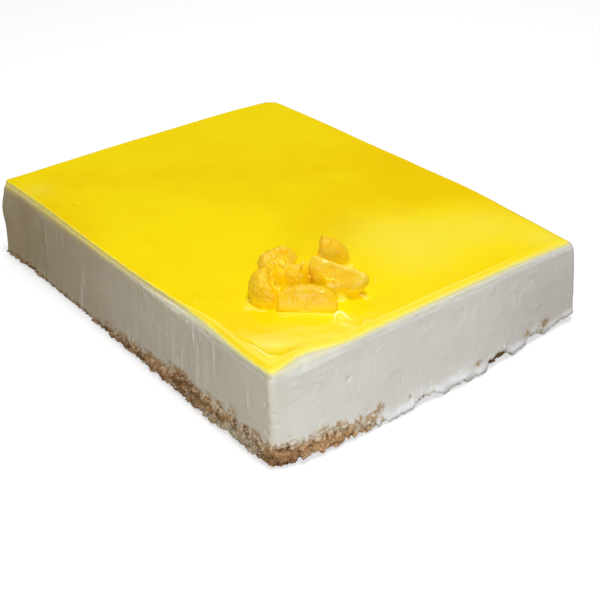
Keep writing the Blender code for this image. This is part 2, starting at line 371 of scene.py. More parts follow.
    def inset_at(self, u: Floats, v: Floats) -> Floats:
        """Read the jelly's inset at nominal places, blended between two sides at a corner.

        Args:
            u: Nominal places across the short side.
            v: Nominal places along the long side.

        Returns:
            The inset at each place.
        """
        weights, insets = [], []
        for side, distance, along, _ in self.edges(u, v):
            weights.append(np.exp(-distance / self.edge_blend))
            insets.append(self.jelly_inset(side, along))
        return sum(w * inset for w, inset in zip(weights, insets)) / (sum(weights) + 1e-30)

    def rim(self, inset: Floats) -> tuple[Floats, Floats]:
        """Return the size of the mousse's rim rounding, across and down: more where the jelly draws back."""
        extra = inset - self.edge_inset
        return self.rim_across + self.rim_softening[0] * extra, self.rim_down + self.rim_softening[1] * extra

    def rim_height(self, inset: Floats) -> Floats:
        """Return the height of the mousse's surface where the jelly's edge meets it."""
        across, down = self.rim(inset)
        return self.mousse_top - down * (1 - np.sqrt(1 - np.clip(1 - inset / across, 0.0, 1.0) ** 2))


class MeshMaker:
    """Turns points into meshes, and meshes into finished pieces that ride on the frame."""

    @staticmethod
    def band(model: bmesh.types.BMesh, lower: Verts, upper: Verts) -> None:
        """Join two rows of vertices with a band of faces."""
        for corners in zip(lower, lower[1:], upper[1:], upper):
            model.faces.new(corners)

    @staticmethod
    def rings(rows: Floats) -> bmesh.types.BMesh:
        """Join closed rings of points into one closed surface with its normals pointing out.

        Args:
            rows: Points of shape (rings, stations, 3), from the bottom ring to the top one.

        Returns:
            The mesh, with a flat cap at each end.
        """
        model = bmesh.new()
        rings = [[model.verts.new(point) for point in ring] for ring in rows.tolist()]
        for lower, upper in zip(rings, rings[1:]):
            MeshMaker.band(model, [*lower, lower[0]], [*upper, upper[0]])
        model.faces.new(rings[0][::-1])
        model.faces.new(rings[-1])
        return model

    @staticmethod
    def finish(name: str, shape: bmesh.types.BMesh | bpy.types.Mesh, finish: "Finish") -> Piece:
        """Put a shape in the scene, dressed, on the frame's one body.

        Args:
            name: The piece's name.
            shape: Its mesh, with its place in it, or a bmesh, which is shaded smooth and freed.
            finish: The finish that it wears.

        Returns:
            The new piece.
        """
        mesh = shape
        if isinstance(shape, bmesh.types.BMesh):
            mesh = bpy.data.meshes.new(name)
            shape.to_mesh(mesh)
            shape.free()
            mesh.shade_smooth()
        piece = bpy.data.objects.new(name, mesh)
        bpy.context.scene.collection.objects.link(piece)
        mesh.materials.clear()
        mesh.materials.append(finish.material())
        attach(piece, "root")
        return piece

    @staticmethod
    def store(mesh: bpy.types.Mesh, low: float = 0.0, **values: Floats) -> None:
        """Store numbers for each vertex as named attributes.

        Args:
            mesh: The mesh.
            low: The lowest number that is kept; the highest is 1.
            **values: The numbers, by the attribute's name.
        """
        for name, numbers in values.items():
            attribute = mesh.attributes.new(name, "FLOAT", "POINT")
            attribute.data.foreach_set("value", np.clip(numbers, low, 1.0).astype(np.float32).ravel())


class NodeSheet:
    """A small helper that adds and joins nodes in one tree."""

    def __init__(self, tree: bpy.types.NodeTree) -> None:
        """Keep the tree and start laying nodes out from its left."""
        self.tree = tree
        self.column = 0

    def add(self, kind: str, feeds: dict[str | int, object] | None = None, **settings: object) -> Node:
        """Add a node.

        Args:
            kind: The node's type name.
            feeds: What feeds its inputs, by name or index.
            **settings: Properties of the node, set by name.

        Returns:
            The new node.
        """
        node = self.tree.nodes.new(kind)
        self.column += 1
        node.location = (self.column * NODE_SPACING, 0)
        for name, value in settings.items():
            setattr(node, name, value)
        self.feed(node, feeds or {})
        return node

    def feed(self, node: Node, feeds: dict[str | int, object]) -> None:
        """Set input sockets to constants, or link other nodes' outputs to them.

        Args:
            node: The node that is fed.
            feeds: A constant or an output socket for each input, by name or index.
        """
        for socket, value in feeds.items():
            if isinstance(value, Socket):
                self.tree.links.new(value, node.inputs[socket])
            else:
                node.inputs[socket].default_value = value

    def math(self, operation: str, *values: object) -> Socket:
        """Return the output of a Math node, from its operation and inputs."""
        return self.add("ShaderNodeMath", dict(enumerate(values)), operation=operation).outputs[0]

    def vector(self, operation: str, first: object, second: object) -> Socket:
        """Return the output of a Vector Math node, from its operation and inputs."""
        feeds = {0: first, "Scale" if operation == "SCALE" else 1: second}
        return self.add("ShaderNodeVectorMath", feeds, operation=operation).outputs[0]

    def blend(self, share: object, first: object, second: object) -> Socket:
        """Return two colours' mix, where share says how much of the second one shows."""
        opaque = [(*colour, 1.0) if isinstance(colour, tuple) else colour for colour in (first, second)]
        return self.add("ShaderNodeMix", {0: share, 6: opaque[0], 7: opaque[1]}, data_type="RGBA").outputs[2]

    def coats(self, colour: object, *coats: tuple[object, Triple]) -> Socket:
        """Lay coats of colour over a first one.

        Args:
            colour: The first colour.
            *coats: How much of each coat shows, and its colour.

        Returns:
            The last colour's socket.
        """
        for share, tint in coats:
            colour = self.blend(share, colour, tint)
        return colour

    def step(self, value: Socket, low: float, high: float) -> Socket:
        """Map a value to 0 at low and 1 at high, with a smooth rise."""
        feeds = {"Value": value, "From Min": low, "From Max": high}
        return self.add("ShaderNodeMapRange", feeds, interpolation_type="SMOOTHSTEP").outputs[0]

    def attribute(self, name: str) -> Socket:
        """Return the output that reads a named attribute of the surface as a number."""
        return self.add("ShaderNodeAttribute", attribute_name=name).outputs["Fac"]

    def group(self, tree: bpy.types.NodeTree, **values: float) -> bpy.types.NodeOutputs:
        """Place a node group with its own values, and return its outputs."""
        return self.add("ShaderNodeGroup", values, node_tree=tree).outputs

    def bump(self, height: Socket, depth: float, strength: float) -> Socket:
        """Return a relief's normal: depth is what a height of 1 stands for, strength how much shows."""
        feeds = {"Height": height, "Distance": depth, "Strength": strength}
        return self.add("ShaderNodeBump", feeds).outputs[0]


def shader_group(
    name: str, inputs: dict[str, float], outputs: tuple[str, ...],
) -> tuple[NodeSheet, Node, Node]:
    """Start a shader node group with named number inputs and outputs.

    Args:
        name: The group's name.
        inputs: Each input's name and usual value.
        outputs: The outputs' names.

    Returns:
        The sheet to build on, the group's input node and its output node.
    """
    tree = bpy.data.node_groups.new(name, "ShaderNodeTree")
    for socket, value in inputs.items():
        made = tree.interface.new_socket(name=socket, in_out="INPUT", socket_type="NodeSocketFloat")
        made.default_value = value
    for socket in outputs:
        tree.interface.new_socket(name=socket, in_out="OUTPUT", socket_type="NodeSocketFloat")
    sheet = NodeSheet(tree)
    return sheet, sheet.add("NodeGroupInput"), sheet.add("NodeGroupOutput")


class Effects:
    """Shader node groups that more than one finish uses, each built once."""

    @staticmethod
    @cache
    def mottle() -> bpy.types.NodeTree:
        """Build the soft, uneven patches that food shows, in object space.

        Returns:
            A group with Size, Stretch, Contrast and Seed inputs and a Mask output between 0 and 1.
        """
        values = {"Size": 0.05, "Stretch": 1.0, "Contrast": 1.0, "Seed": 0.0}
        sheet, start, end = shader_group("food_mottle", values, ("Mask",))
        size, stretch, contrast, seed = (start.outputs[name] for name in values)
        place = sheet.add("ShaderNodeTexCoord").outputs["Object"]
        scale = sheet.add("ShaderNodeCombineXYZ", {"X": 1.0, "Y": 1.0, "Z": stretch}).outputs[0]
        feeds = {
            "Vector": sheet.vector("MULTIPLY", place, scale), "W": seed,
            "Scale": sheet.math("DIVIDE", 1.0, size), "Detail": 3.0, "Roughness": 0.5,
        }
        pattern = sheet.add("ShaderNodeTexNoise", feeds, noise_dimensions="4D").outputs["Fac"]
        widened = sheet.math("MULTIPLY_ADD", sheet.math("SUBTRACT", pattern, 0.5), contrast, 0.5)
        sheet.feed(end, {"Mask": sheet.math("MINIMUM", sheet.math("MAXIMUM", widened, 0.0), 1.0)})
        return sheet.tree

    @staticmethod
    @cache
    def grain() -> bpy.types.NodeTree:
        """Build a fine grain of rounded cells with smaller specks in them.

        Returns:
            A group with Size and Seed inputs, a Height output for bump and a Speck output for colour.
        """
        sheet, start, end = shader_group("food_grain", {"Size": 0.001, "Seed": 0.0}, ("Height", "Speck"))
        place = sheet.add("ShaderNodeTexCoord").outputs["Object"]
        scale = sheet.math("DIVIDE", 1.0, start.outputs["Size"])
        feeds = {"Vector": place, "W": start.outputs["Seed"], "Scale": scale}
        cells = sheet.add("ShaderNodeTexVoronoi", feeds, voronoi_dimensions="4D", feature="F1").outputs
        feeds = {"Vector": place, "Scale": sheet.math("MULTIPLY", scale, 2.3), "Detail": 2.0}
        fine = sheet.add("ShaderNodeTexNoise", feeds).outputs["Fac"]
        dome = sheet.math("SUBTRACT", 1.0, cells["Distance"])
        tint = sheet.add("ShaderNodeSeparateColor", {0: cells["Color"]}).outputs[0]
        sheet.feed(end, {"Height": sheet.math("MULTIPLY_ADD", fine, 0.4, dome), "Speck": tint})
        return sheet.tree


@dataclass(frozen=True)
class Finish:
    """A finish: a named material that is built once, and the record's slot for it."""

    name: str
    slot: Slot

    def material(self) -> bpy.types.Material:
        """Find the finish's material, or build it on first use.

        Returns:
            The material.
        """
        material = bpy.data.materials.get(self.name)
        if material is None:
            material = bpy.data.materials.new(self.name)
            material.use_nodes = True
            sheet = NodeSheet(material.node_tree)
            sheet.feed(material.node_tree.nodes["Principled BSDF"], self.dress(sheet))
        return material

    def dress(self, sheet: NodeSheet) -> dict[str, object]:
        """Build the material's nodes.

        Args:
            sheet: The helper for the material's tree.

        Returns:
            What feeds each of the shader's inputs: a constant, or another node's output.
        """
        raise NotImplementedError


@dataclass(frozen=True)
class MousseFinish(Finish):
    """White mousse, satin, with faint creamy smears and crumb showing where the film is thin, and painted light
    and shade: shade on the rim's rounding and the far left face, highlights on the lips and lumps, and warm
    light under the left rim.
    """

    name: str = "white_mousse"
    slot: Slot = Slot.MOUSSE
    body: Triple = (0.80, 0.79, 0.765)
    cream: Triple = (0.83, 0.80, 0.72)
    crumb_tint: Triple = (0.52, 0.36, 0.21)
    # jelly's yellow seeping into the rim; on the left it is deeper and stronger as painted light that brightens
    # and warms the shaded face under the rim
    jelly_bleed_and_light: Triple = (0.92, 0.76, 0.22)
    # painted highlight: bluish white on the hem's lips and on lumps, as if they caught the light
    lip_highlight: Triple = (0.83, 0.84, 0.86)
    # painted shade: a grey that darkens the rim's upward rounding; it also tints the knife streaks
    shade_and_streak_grey: Triple = (0.46, 0.45, 0.335)
    # painted shade: a warm, dim tint for the far half of the left face, where less and warmer light falls
    far_shade_tint: Triple = (0.65, 0.55, 0.40)

    def dress(self, sheet: NodeSheet) -> dict[str, object]:
        """Build the mousse's nodes: soft cream patches, thin spots over crumb, a fine pore grain, and the
        painted shade, highlights and warm light.

        Args:
            sheet: The helper for the material's tree.

        Returns:
            What feeds each of the shader's inputs.
        """
        soft = sheet.group(Effects.mottle(), Size=0.022, Stretch=0.5, Contrast=2.2, Seed=1.0)["Mask"]
        streak = sheet.group(Effects.mottle(), Size=0.0026, Stretch=0.12, Contrast=2.4, Seed=15.0)["Mask"]
        grain = sheet.group(Effects.grain(), Size=0.0013, Seed=2.0)
        # painted shade of the far left face; the streaks darken more there too
        age = sheet.attribute("age")
        streak_share = sheet.math("MULTIPLY_ADD", age, 0.32, 0.065)
        broken = sheet.math("MULTIPLY_ADD", grain["Speck"], 0.3, -0.15)
        colour = sheet.coats(
            self.body,
            (sheet.math("MULTIPLY", soft, 0.45), self.cream),
            (age, self.far_shade_tint),
            (sheet.math("MULTIPLY", streak, streak_share), self.shade_and_streak_grey),
            # painted highlight on the lips and lumps
            (sheet.attribute("lip_highlight"), self.lip_highlight),
            # painted shade on the rim's upward rounding, where the top light falls brightest
            (sheet.attribute("rim_shade"), self.shade_and_streak_grey),
            # jelly's yellow in the rim, with painted warm light under the left rim
            (sheet.attribute("jelly_bleed_and_light"), self.jelly_bleed_and_light),
            (sheet.step(sheet.math("ADD", sheet.attribute("thin"), broken), 0.12, 1.0), self.crumb_tint),
        )
        return {
            "Base Color": colour,
            "Roughness": sheet.math("MULTIPLY_ADD", soft, 0.15, 0.42),
            "IOR": 1.4,
            "Specular IOR Level": 0.35,
            "Subsurface Weight": 0.25,
            "Subsurface Radius": (1.0, 0.9, 0.7),
            "Subsurface Scale": 0.002,
            "Normal": sheet.bump(grain["Height"], 0.0001, 0.35),
        }


@dataclass(frozen=True)
class CrumbFinish(Finish):
    """Dry biscuit crumb: tan grains, pale where mousse is smeared on it, with painted shade in the crevices and
    the recess, and darker brown on the left and near corner, partly crust tone and partly painted shade.
    """

    name: str = "biscuit_crumb"
    slot: Slot = Slot.CRUMB
    tan: Triple = (0.57, 0.325, 0.14)
    brown: Triple = (0.27, 0.125, 0.045)
    pale: Triple = (0.84, 0.59, 0.34)
    smear: Triple = (0.59, 0.50, 0.385)
    # painted shade: near black in the crevices and recesses, a lighter brown in the cracks
    crevice_shade: Triple = (0.045, 0.022, 0.018)
    crack_shade: Triple = (0.25, 0.135, 0.060)
    # darker brown on the left side and near corner: partly crust tone, partly painted shade
    baked: Triple = (0.20, 0.09, 0.035)

    def dress(self, sheet: NodeSheet) -> dict[str, object]:
        """Build the crumb's nodes: a mix of grain colours, by patch, grain and the mousse smeared on it, with
        painted shade in the crevices and on the left side.

        Args:
            sheet: The helper for the material's tree.

        Returns:
            What feeds each of the shader's inputs.
        """
        grain = sheet.group(Effects.grain(), Size=0.0011, Seed=5.0)
        patch = sheet.group(Effects.mottle(), Size=0.009, Contrast=2.6, Seed=3.0)["Mask"]
        tone, bake = sheet.attribute("tone"), sheet.attribute("bake")
        mixed = sheet.math("MULTIPLY_ADD", grain["Speck"], 0.45, sheet.math("MULTIPLY", tone, 0.55))
        smeared = sheet.math("MULTIPLY_ADD", grain["Speck"], 0.6, sheet.attribute("smear"))
        colour = sheet.coats(
            self.brown,
            (mixed, self.pale),
            (sheet.math("MULTIPLY", patch, 0.6), self.tan),
            # darker brown on the left side and near corner, partly painted shade
            (sheet.math("MULTIPLY", bake, 0.75), self.baked),
            (sheet.step(smeared, 0.55, 1.1), self.smear),
        )
        # painted shade in the crevices between the crags and in the recess under the hem, darkest where the
        # side is shaded
        painted_crevice_shade = sheet.blend(bake, self.crack_shade, self.crevice_shade)
        return {
            "Base Color": sheet.blend(sheet.step(tone, 0.12, 0.47), painted_crevice_shade, colour),
            "Roughness": 0.85,
            "Specular IOR Level": 0.2,
            "Normal": sheet.bump(grain["Height"], 0.0004, 0.9),
        }


@dataclass(frozen=True)
class JellyFinish(Finish):
    """Lemon jelly: glossy and saturated, softly mottled, paler where it thins out at its rim, with painted
    sheen, painted highlights on its crests and a painted glow.
    """

    name: str = "lemon_jelly_gloss"
    slot: Slot = Slot.JELLY
    lemon: Triple = (0.92, 0.705, 0.004)
    golden: Triple = (0.86, 0.585, 0.0015)
    rim: Triple = (0.64, 0.565, 0.30)
    thinning: Triple = (0.86, 0.745, 0.12)
    # painted reflection: a pale sheen of soft light on the glossy top
    sheen_tint: Triple = (0.90, 0.78, 0.11)
    amber: Triple = (0.83, 0.49, 0.004)
    # painted highlight: pale yellow on the crests of the wrinkles
    crest_highlight: Triple = (0.93, 0.88, 0.30)
    # painted light: strength of the jelly's glow near the fruit and along the left edge
    glow: float = 0.36

    def dress(self, sheet: NodeSheet) -> dict[str, object]:
        """Build the jelly's nodes: golden patches, a pale rim, pools of painted sheen, painted highlights on
        the crests, a painted glow and a wet surface.

        Args:
            sheet: The helper for the material's tree.

        Returns:
            What feeds each of the shader's inputs.
        """
        wide = sheet.group(Effects.mottle(), Size=0.085, Contrast=2.6, Seed=7.0)["Mask"]
        small = sheet.group(Effects.mottle(), Size=0.02, Contrast=1.6, Seed=8.0)["Mask"]
        ripple = sheet.group(Effects.mottle(), Size=0.006, Contrast=1.0, Seed=9.0)["Mask"]
        depth = sheet.math("ADD", sheet.math("MULTIPLY_ADD", small, 0.25, wide), sheet.attribute("depth"))
        rim = sheet.attribute("rim")
        colour = sheet.coats(
            self.lemon,
            (sheet.step(depth, 0.25, 1.25), self.golden),
            # painted sheen
            (sheet.attribute("sheen"), self.sheen_tint),
            (sheet.math("MULTIPLY", sheet.attribute("amber"), 0.9), self.amber),
            # painted highlight on the crests, on top of their real gloss
            (sheet.step(sheet.attribute("crest"), 0.2, 0.9), self.crest_highlight),
            (sheet.step(rim, 0.0, 0.6), self.thinning),
            (sheet.step(rim, 0.45, 1.0), self.rim),
        )
        return {
            "Base Color": colour,
            # painted light: the jelly glows near the fruit, where their shade falls, along its shaded left edge
            # and at a few spots
            "Emission Color": sheet.blend(sheet.attribute("glow"), BLACK, colour),
            "Emission Strength": self.glow,
            "Roughness": sheet.math("MULTIPLY_ADD", sheet.step(sheet.attribute("edge"), 0.0, 0.5), 0.4, 0.09),
            "IOR": 1.36,
            "Subsurface Weight": 0.15,
            "Subsurface Radius": (1.0, 0.8, 0.1),
            "Subsurface Scale": 0.002,
            "Normal": sheet.bump(ripple, 0.0002, 0.12),
        }


@dataclass(frozen=True)
class MandarinFinish(Finish):
    """Wet mandarin flesh: orange juice sacs under a pale membrane and a clear glaze, with a painted glow that
    lifts its shade, most at the foot.
    """

    name: str = "mandarin_flesh"
    slot: Slot = Slot.MANDARIN
    flesh: Triple = (0.60, 0.40, 0.006)
    deep: Triple = (0.64, 0.325, 0.002)
    pale: Triple = (0.575, 0.42, 0.042)
    amber: Triple = (0.63, 0.435, 0.004)
    # painted light: glow colour at the foot, where the contact's shade would fall
    foot_glow: Triple = (0.85, 0.55, 0.004)
    glow: float = 0.48

    def dress(self, sheet: NodeSheet) -> dict[str, object]:
        """Build the fruit's nodes: juice sacs by grain, pale membrane by attribute, a clear wet coat, and a
        painted glow that lifts the shade, most at the foot.

        Args:
            sheet: The helper for the material's tree.

        Returns:
            What feeds each of the shader's inputs.
        """
        patch = sheet.group(Effects.mottle(), Size=0.006, Contrast=2.4, Seed=11.0)["Mask"]
        sacs = sheet.group(Effects.grain(), Size=0.0026, Seed=14.0)
        grain = sheet.group(Effects.grain(), Size=0.0016, Seed=12.0)
        membrane = sheet.math("MULTIPLY_ADD", patch, -0.6, sheet.attribute("membrane"))
        foot = sheet.attribute("foot")
        colour = sheet.coats(
            self.flesh,
            (patch, self.deep),
            (sheet.math("MULTIPLY", sacs["Speck"], 0.4), self.pale),
            (sheet.step(membrane, 0.0, 0.9), self.pale),
            (foot, self.amber),
        )
        pulp = sheet.math("MULTIPLY_ADD", sacs["Height"], 1.6, grain["Height"])
        return {
            "Base Color": colour,
            "Roughness": 0.42,
            "Specular IOR Level": 0.1,
            "IOR": 1.38,
            "Subsurface Weight": 0.6,
            "Subsurface Radius": (1.0, 0.75, 0.15),
            "Subsurface Scale": 0.003,
            # painted light: the fruit glows in its own colour, warmer at the foot, to lift its shade
            "Emission Color": sheet.blend(sheet.math("MULTIPLY", foot, 0.7), colour, self.foot_glow),
            "Emission Strength": self.glow,
            "Coat Weight": sheet.math("MULTIPLY_ADD", foot, -0.34, 0.36),
            "Coat Roughness": 0.12,
            "Normal": sheet.bump(pulp, 0.0004, 0.45),
        }


@dataclass
class LemonMousse:
    """The white mousse: smooth sides with knife streaks, a rounded rim and a ragged lower hem."""

    form: SlabForm
    finish: MousseFinish = MousseFinish()
    pitch: float = 0.75 * MM
    side_rings: int = 50
    rim_rings: int = 10
    rim_roughness: Pair = (0.12 * MM, 0.3 * MM)
    rim_lengths: Pair = (3.2 * MM, 1.5 * MM)
    rough_inset: float = 2 * MM
    cap_inset: float = 8 * MM
    # how deep the jelly's yellow seeps, and how far and how strongly the painted warm light on the left reaches
    bleed_and_light_depths: Pair = (1.6 * MM, 6.5 * MM)
    left_light_deepening: Pair = (-70 * MM, 130 * MM)
    left_light_onset: Pair = (-60 * MM, 40 * MM)
    warm_light_zone: Pair = (-90 * MM, -30 * MM)
    warm_light_depths: Pair = (11 * MM, 1 * MM)
    cloud_length: float = 7 * MM
    film_height: float = 2.0 * MM
    film_lengths: Pair = (2.2 * MM, 6 * MM)
    # painted highlight on the lower hem's lips, how high it reaches and how broken it is, and a band of it on
    # the upper left face
    lip_highlight_height: float = 3.2 * MM
    lip_highlight_length: float = 5 * MM
    left_highlight_zone: Pair = (-80 * MM, -20 * MM)
    left_highlight_depth: float = 8 * MM
    # where the painted shade on the rim's rounding fades out on the right, back and left sides
    right_rim_shade_zone: Pair = (-150 * MM, -90 * MM)
    back_rim_shade_zone: Pair = (-115 * MM, -60 * MM)
    left_rim_shade_zone: Pair = (-110 * MM, -10 * MM)
    # where the painted shade of the far left face lies, across and along the slab
    far_shade_across: Pair = (-95 * MM, -121 * MM)
    far_shade_along: Pair = (-60 * MM, 190 * MM)
    hem_thickness: float = 2.1 * MM
    hem_floor: float = 0.4 * MM
    hem_lip: float = 0.2 * MM
    hem_round: float = 0.7 * MM
    front_hem: Profile = (
        (-92, 14.2), (-84, 12.8), (-76, 10.5), (-66, 8.5), (-58, 6.5), (-52, 3.0), (-44, 0.8), (-28, 1.2),
        (-21, 5.0), (-10, 5.0), (-3, 0.8), (12, 3.2),
        (20, 0.8), (32, 0.8), (37, 7.5), (50, 7.0), (57, 0.8), (69, 1.5), (76, 6.5), (86, 5.5),
        (93, 1.2), (102, 2.5), (112, 5.0), (122, 4.0),
    )
    left_hem: Profile = (
        (-74, 14.2), (-66, 12.5), (-51, 9.0), (-37, 7.5), (-14, 5.9), (6, 4.6), (24, 2.4), (60, 1.6),
        (92, 1.4), (110, 3.2), (140, 3.4), (155, 2.0),
    )
    unseen_mean: float = 3.6 * MM
    unseen_swing: float = 5.0 * MM
    unseen_length: float = 21 * MM
    open_hems: Pair = (11 * MM, 13 * MM)
    open_hem_drop: float = 0.9 * MM
    tooth_depths: Pair = (1.5 * MM, 1.2 * MM)
    tooth_lengths: Pair = (5.5 * MM, 1.9 * MM)
    point_depth: float = 2.1 * MM
    point_length: float = 3.2 * MM
    lip_bulge: float = 0.6 * MM
    bulge_length: float = 6.0 * MM
    bulge_hems: Pair = (8 * MM, 11 * MM)
    bulge_rise: float = 1.6 * MM
    bulge_reach: float = 2.0 * MM
    streak_depth: float = 0.13 * MM
    front_streak_depth: float = 0.09 * MM
    side_offset: float = 0.9
    streak_slant: float = 0.08
    streak_stretch: Pair = (14, 5)
    streak_lengths: Pair = (2.6 * MM, 9.0 * MM)
    patch_length: float = 26 * MM
    fine_depth: float = 0.06 * MM
    fine_length: float = 2.2 * MM
    smear_depth: float = 0.13 * MM
    smear_length: float = 5.0 * MM
    pore_count: int = 260
    seed: int = 41
    lips: tuple[Mark, ...] = marks(
        Side.FRONT, (-60, 2.0, 9, 2.2, 0.9), (-46, 2.2, 6, 2.4, 1.0), (-30, 3.0, 8, 2.6, 1.5),
        (-6, 3.4, 5, 3.0, 1.6), (6, 5.2, 6, 2.8, 1.4), (16, 5.0, 5, 2.6, 1.3), (28, 3.0, 5, 2.0, 1.0),
        (60, 4.0, 7, 2.2, 1.1), (95, 4.0, 6, 2.0, 0.9), (112, 6.5, 5, 1.6, 0.7),
    )
    # spots of painted highlight on lumps of the left and front faces
    highlight_spots: tuple[Mark, ...] = marks(
        Side.LEFT, (-24, 55.5, 17, 3.0, 0.9), (-8, 56, 8, 2.0, 0.6), (-31, 49, 3, 2.0, 0.7),
        (53, 10, 1.6, 11, 0.6), (50, 26, 1.8, 5, 0.5), (-84, 46, 1.6, 7, 0.6), (-91, 49, 1.4, 6, 0.55),
        (-104, 44, 1.4, 9, 0.5), (100, 52, 9, 2.0, 0.4), (70, 54, 7, 1.6, 0.4),
    ) + marks(Side.FRONT, (-101, 54, 7, 3.5, 0.5), (-84, 47, 8, 2.0, 0.35), (-71, 53, 4, 2.0, 0.35))
    named_marks: tuple[Mark, ...] = marks(
        Side.LEFT, (53, 10, 1.4, 11, 0.7), (50, 26, 1.6, 5, 0.5), (-84, 46, 1.2, 6, 0.55),
        (-91, 49, 1.0, 5, 0.5),
        (-104, 44, 1.0, 8, 0.45), (-24, 55, 3.2, 1.6, 0.6), (-40, 54, 2.4, 1.4, 0.5),
        (-30, 49, 1.8, 1.2, 0.5),
        (-10, 55, 5, 1.2, 0.45), (25, 54, 3, 1.5, 0.4), (-123, 18, 3.5, 3, -0.5), (100, 30, 1.4, 12, 0.4),
        (-60, 30, 1.0, 10, 0.3), (12, 38, 1.2, 9, 0.35), (-137, 30, 1.5, 4, 0.35), (78, 44, 1.5, 6, 0.4),
        (-155, 38, 1.6, 1.6, -0.7), (-156, 28, 1.4, 2.2, -0.6), (-155, 20, 1.6, 1.8, -0.6),
    ) + marks(
        Side.FRONT, (-70, 36, 1.2, 0.8, -0.6), (-71, 53, 2.2, 0.9, 0.35), (-94, 56, 3.0, 1.0, 0.35),
        (-75, 42, 1.2, 3.0, 0.3), (-68, 37, 1.0, 1.0, -0.5), (-27, 7, 0.8, 1.2, -1.1),
        (-101, 52, 2.6, 2.0, 0.3),
        (-89, 40, 2.0, 2.0, 0.22), (-58, 12, 2.2, 3.5, -0.45), (-47, 9, 2.5, 2.5, -0.5),
        (30, 8, 3.0, 1.4, -0.4),
        (-84, 47, 6, 1.0, 0.2), (15, 9, 5, 1.6, 0.4), (-20, 8, 5, 2.0, 0.35), (-113, 22, 2.2, 5, 0.25),
    )
    thin_spots: tuple[Mark, ...] = marks(
        Side.FRONT, (-63, 6, 5, 4.5, 0.9), (-55, 9, 4.5, 4.0, 0.9), (-49, 12, 3, 2.5, 0.8),
        (-70, 4, 5, 3, 0.7),
        (-27, 9, 1.6, 1.2, 1.0), (-78, 8, 6, 6, 0.75), (27, 8.5, 4, 2.0, 0.95), (73, 9, 5, 2.6, 1.05),
        (45, 9.5, 4, 1.6, 0.8), (119, 4.5, 3.0, 3.0, 1.1), (91, 8, 6, 3.4, 1.15), (-88, 14.5, 8, 1.2, 0.7),
        (-106, 14.6, 8, 1.0, 0.6),
    ) + marks(
        Side.LEFT, (-40, 10, 14, 2.4, 0.75), (-12, 9, 14, 2.4, 0.7), (14, 6.5, 12, 2.4, 0.65),
        (-66, 15, 10, 2.4, 0.75), (-110, 16, 14, 1.6, 0.6), (-121, 18, 3.5, 3, 0.7), (45, 4, 16, 1.8, 0.5),
        (-142, 15, 10, 1.4, 0.6), (80, 3, 16, 1.4, 0.4),
    )

    def hem_heights(self, outline: Outline) -> Floats:
        """Work out the height of the lower hem all round, with its teeth.

        Args:
            outline: The stations.

        Returns:
            One height for each station.
        """
        places = points_at(outline.u, outline.v, 0.0)
        heights = self.unseen_mean + self.unseen_swing * wander(places, self.unseen_length)
        for side, profile in ((Side.FRONT, self.front_hem), (Side.LEFT, self.left_hem)):
            heights = np.where(outline.on(side), read_profile(profile, outline.along), heights)
        teeth = self.point_depth * (0.35 - 2 * np.abs(wander(places, self.point_length, 5.0)))
        for depth, length, seed in zip(self.tooth_depths, self.tooth_lengths, (1.0, 2.0)):
            teeth = teeth + depth * wander(places, length, seed)
        open_zone = smoothstep(*self.open_hems, heights)
        heights = np.minimum(heights, self.form.crumb_top) - open_zone * self.open_hem_drop + teeth
        return np.clip(heights, self.hem_floor, self.form.crumb_top)

    def pores(self) -> tuple[Mark, ...]:
        """Draw the pores that the knife has opened, all over the sides.

        Returns:
            The pores.
        """
        draw = random.Random(self.seed)
        return tuple(
            Mark(
                draw.choice(list(Side)), draw.uniform(-0.155, 0.155), draw.uniform(0.004, 0.054),
                draw.uniform(0.5, 1.1) * MM, draw.uniform(0.5, 1.3) * MM, -draw.uniform(0.15, 0.5) * MM,
            )
            for _ in range(self.pore_count)
        )

    def relief(self, outline: Outline, heights: Floats, shares: Floats) -> Floats:
        """Work out how far the sides stand out: knife streaks, smears, pores and named marks.

        Args:
            outline: The stations.
            heights: Height of each point, of shape (rings, stations).
            shares: Each ring's share of the way up the side.

        Returns:
            Outward offsets of the same shape as heights.
        """
        along = outline.along
        code = np.array([list(Side).index(side) for side in outline.sides]) * self.side_offset
        depth = np.where(outline.on(Side.FRONT), self.front_streak_depth, self.streak_depth)
        slanted = along + heights * self.streak_slant
        streaks, broad = (
            wander(points_at(slanted, heights / stretch, code), length, seed)
            for stretch, length, seed in zip(self.streak_stretch, self.streak_lengths, (3.0, 4.0))
        )
        face = points_at(along, heights, code)
        patchy = 0.35 + 1.3 * smoothstep(-0.1, 0.45, wander(face, self.patch_length, 8.0))
        smear = wander(points_at(along / 2, heights, code), self.smear_length, 6.0)
        out = depth * (streaks * patchy + 1.4 * broad) + self.fine_depth * wander(face, self.fine_length, 5.0)
        out = out + self.smear_depth * smoothstep(0.2, 0.5, smear)
        out = out + outline.spread((*self.named_marks, *self.pores()), heights)
        fade = smoothstep(0.0, 0.05, shares) * (1 - 0.6 * smoothstep(0.94, 1.0, shares))
        return out * fade[:, None]

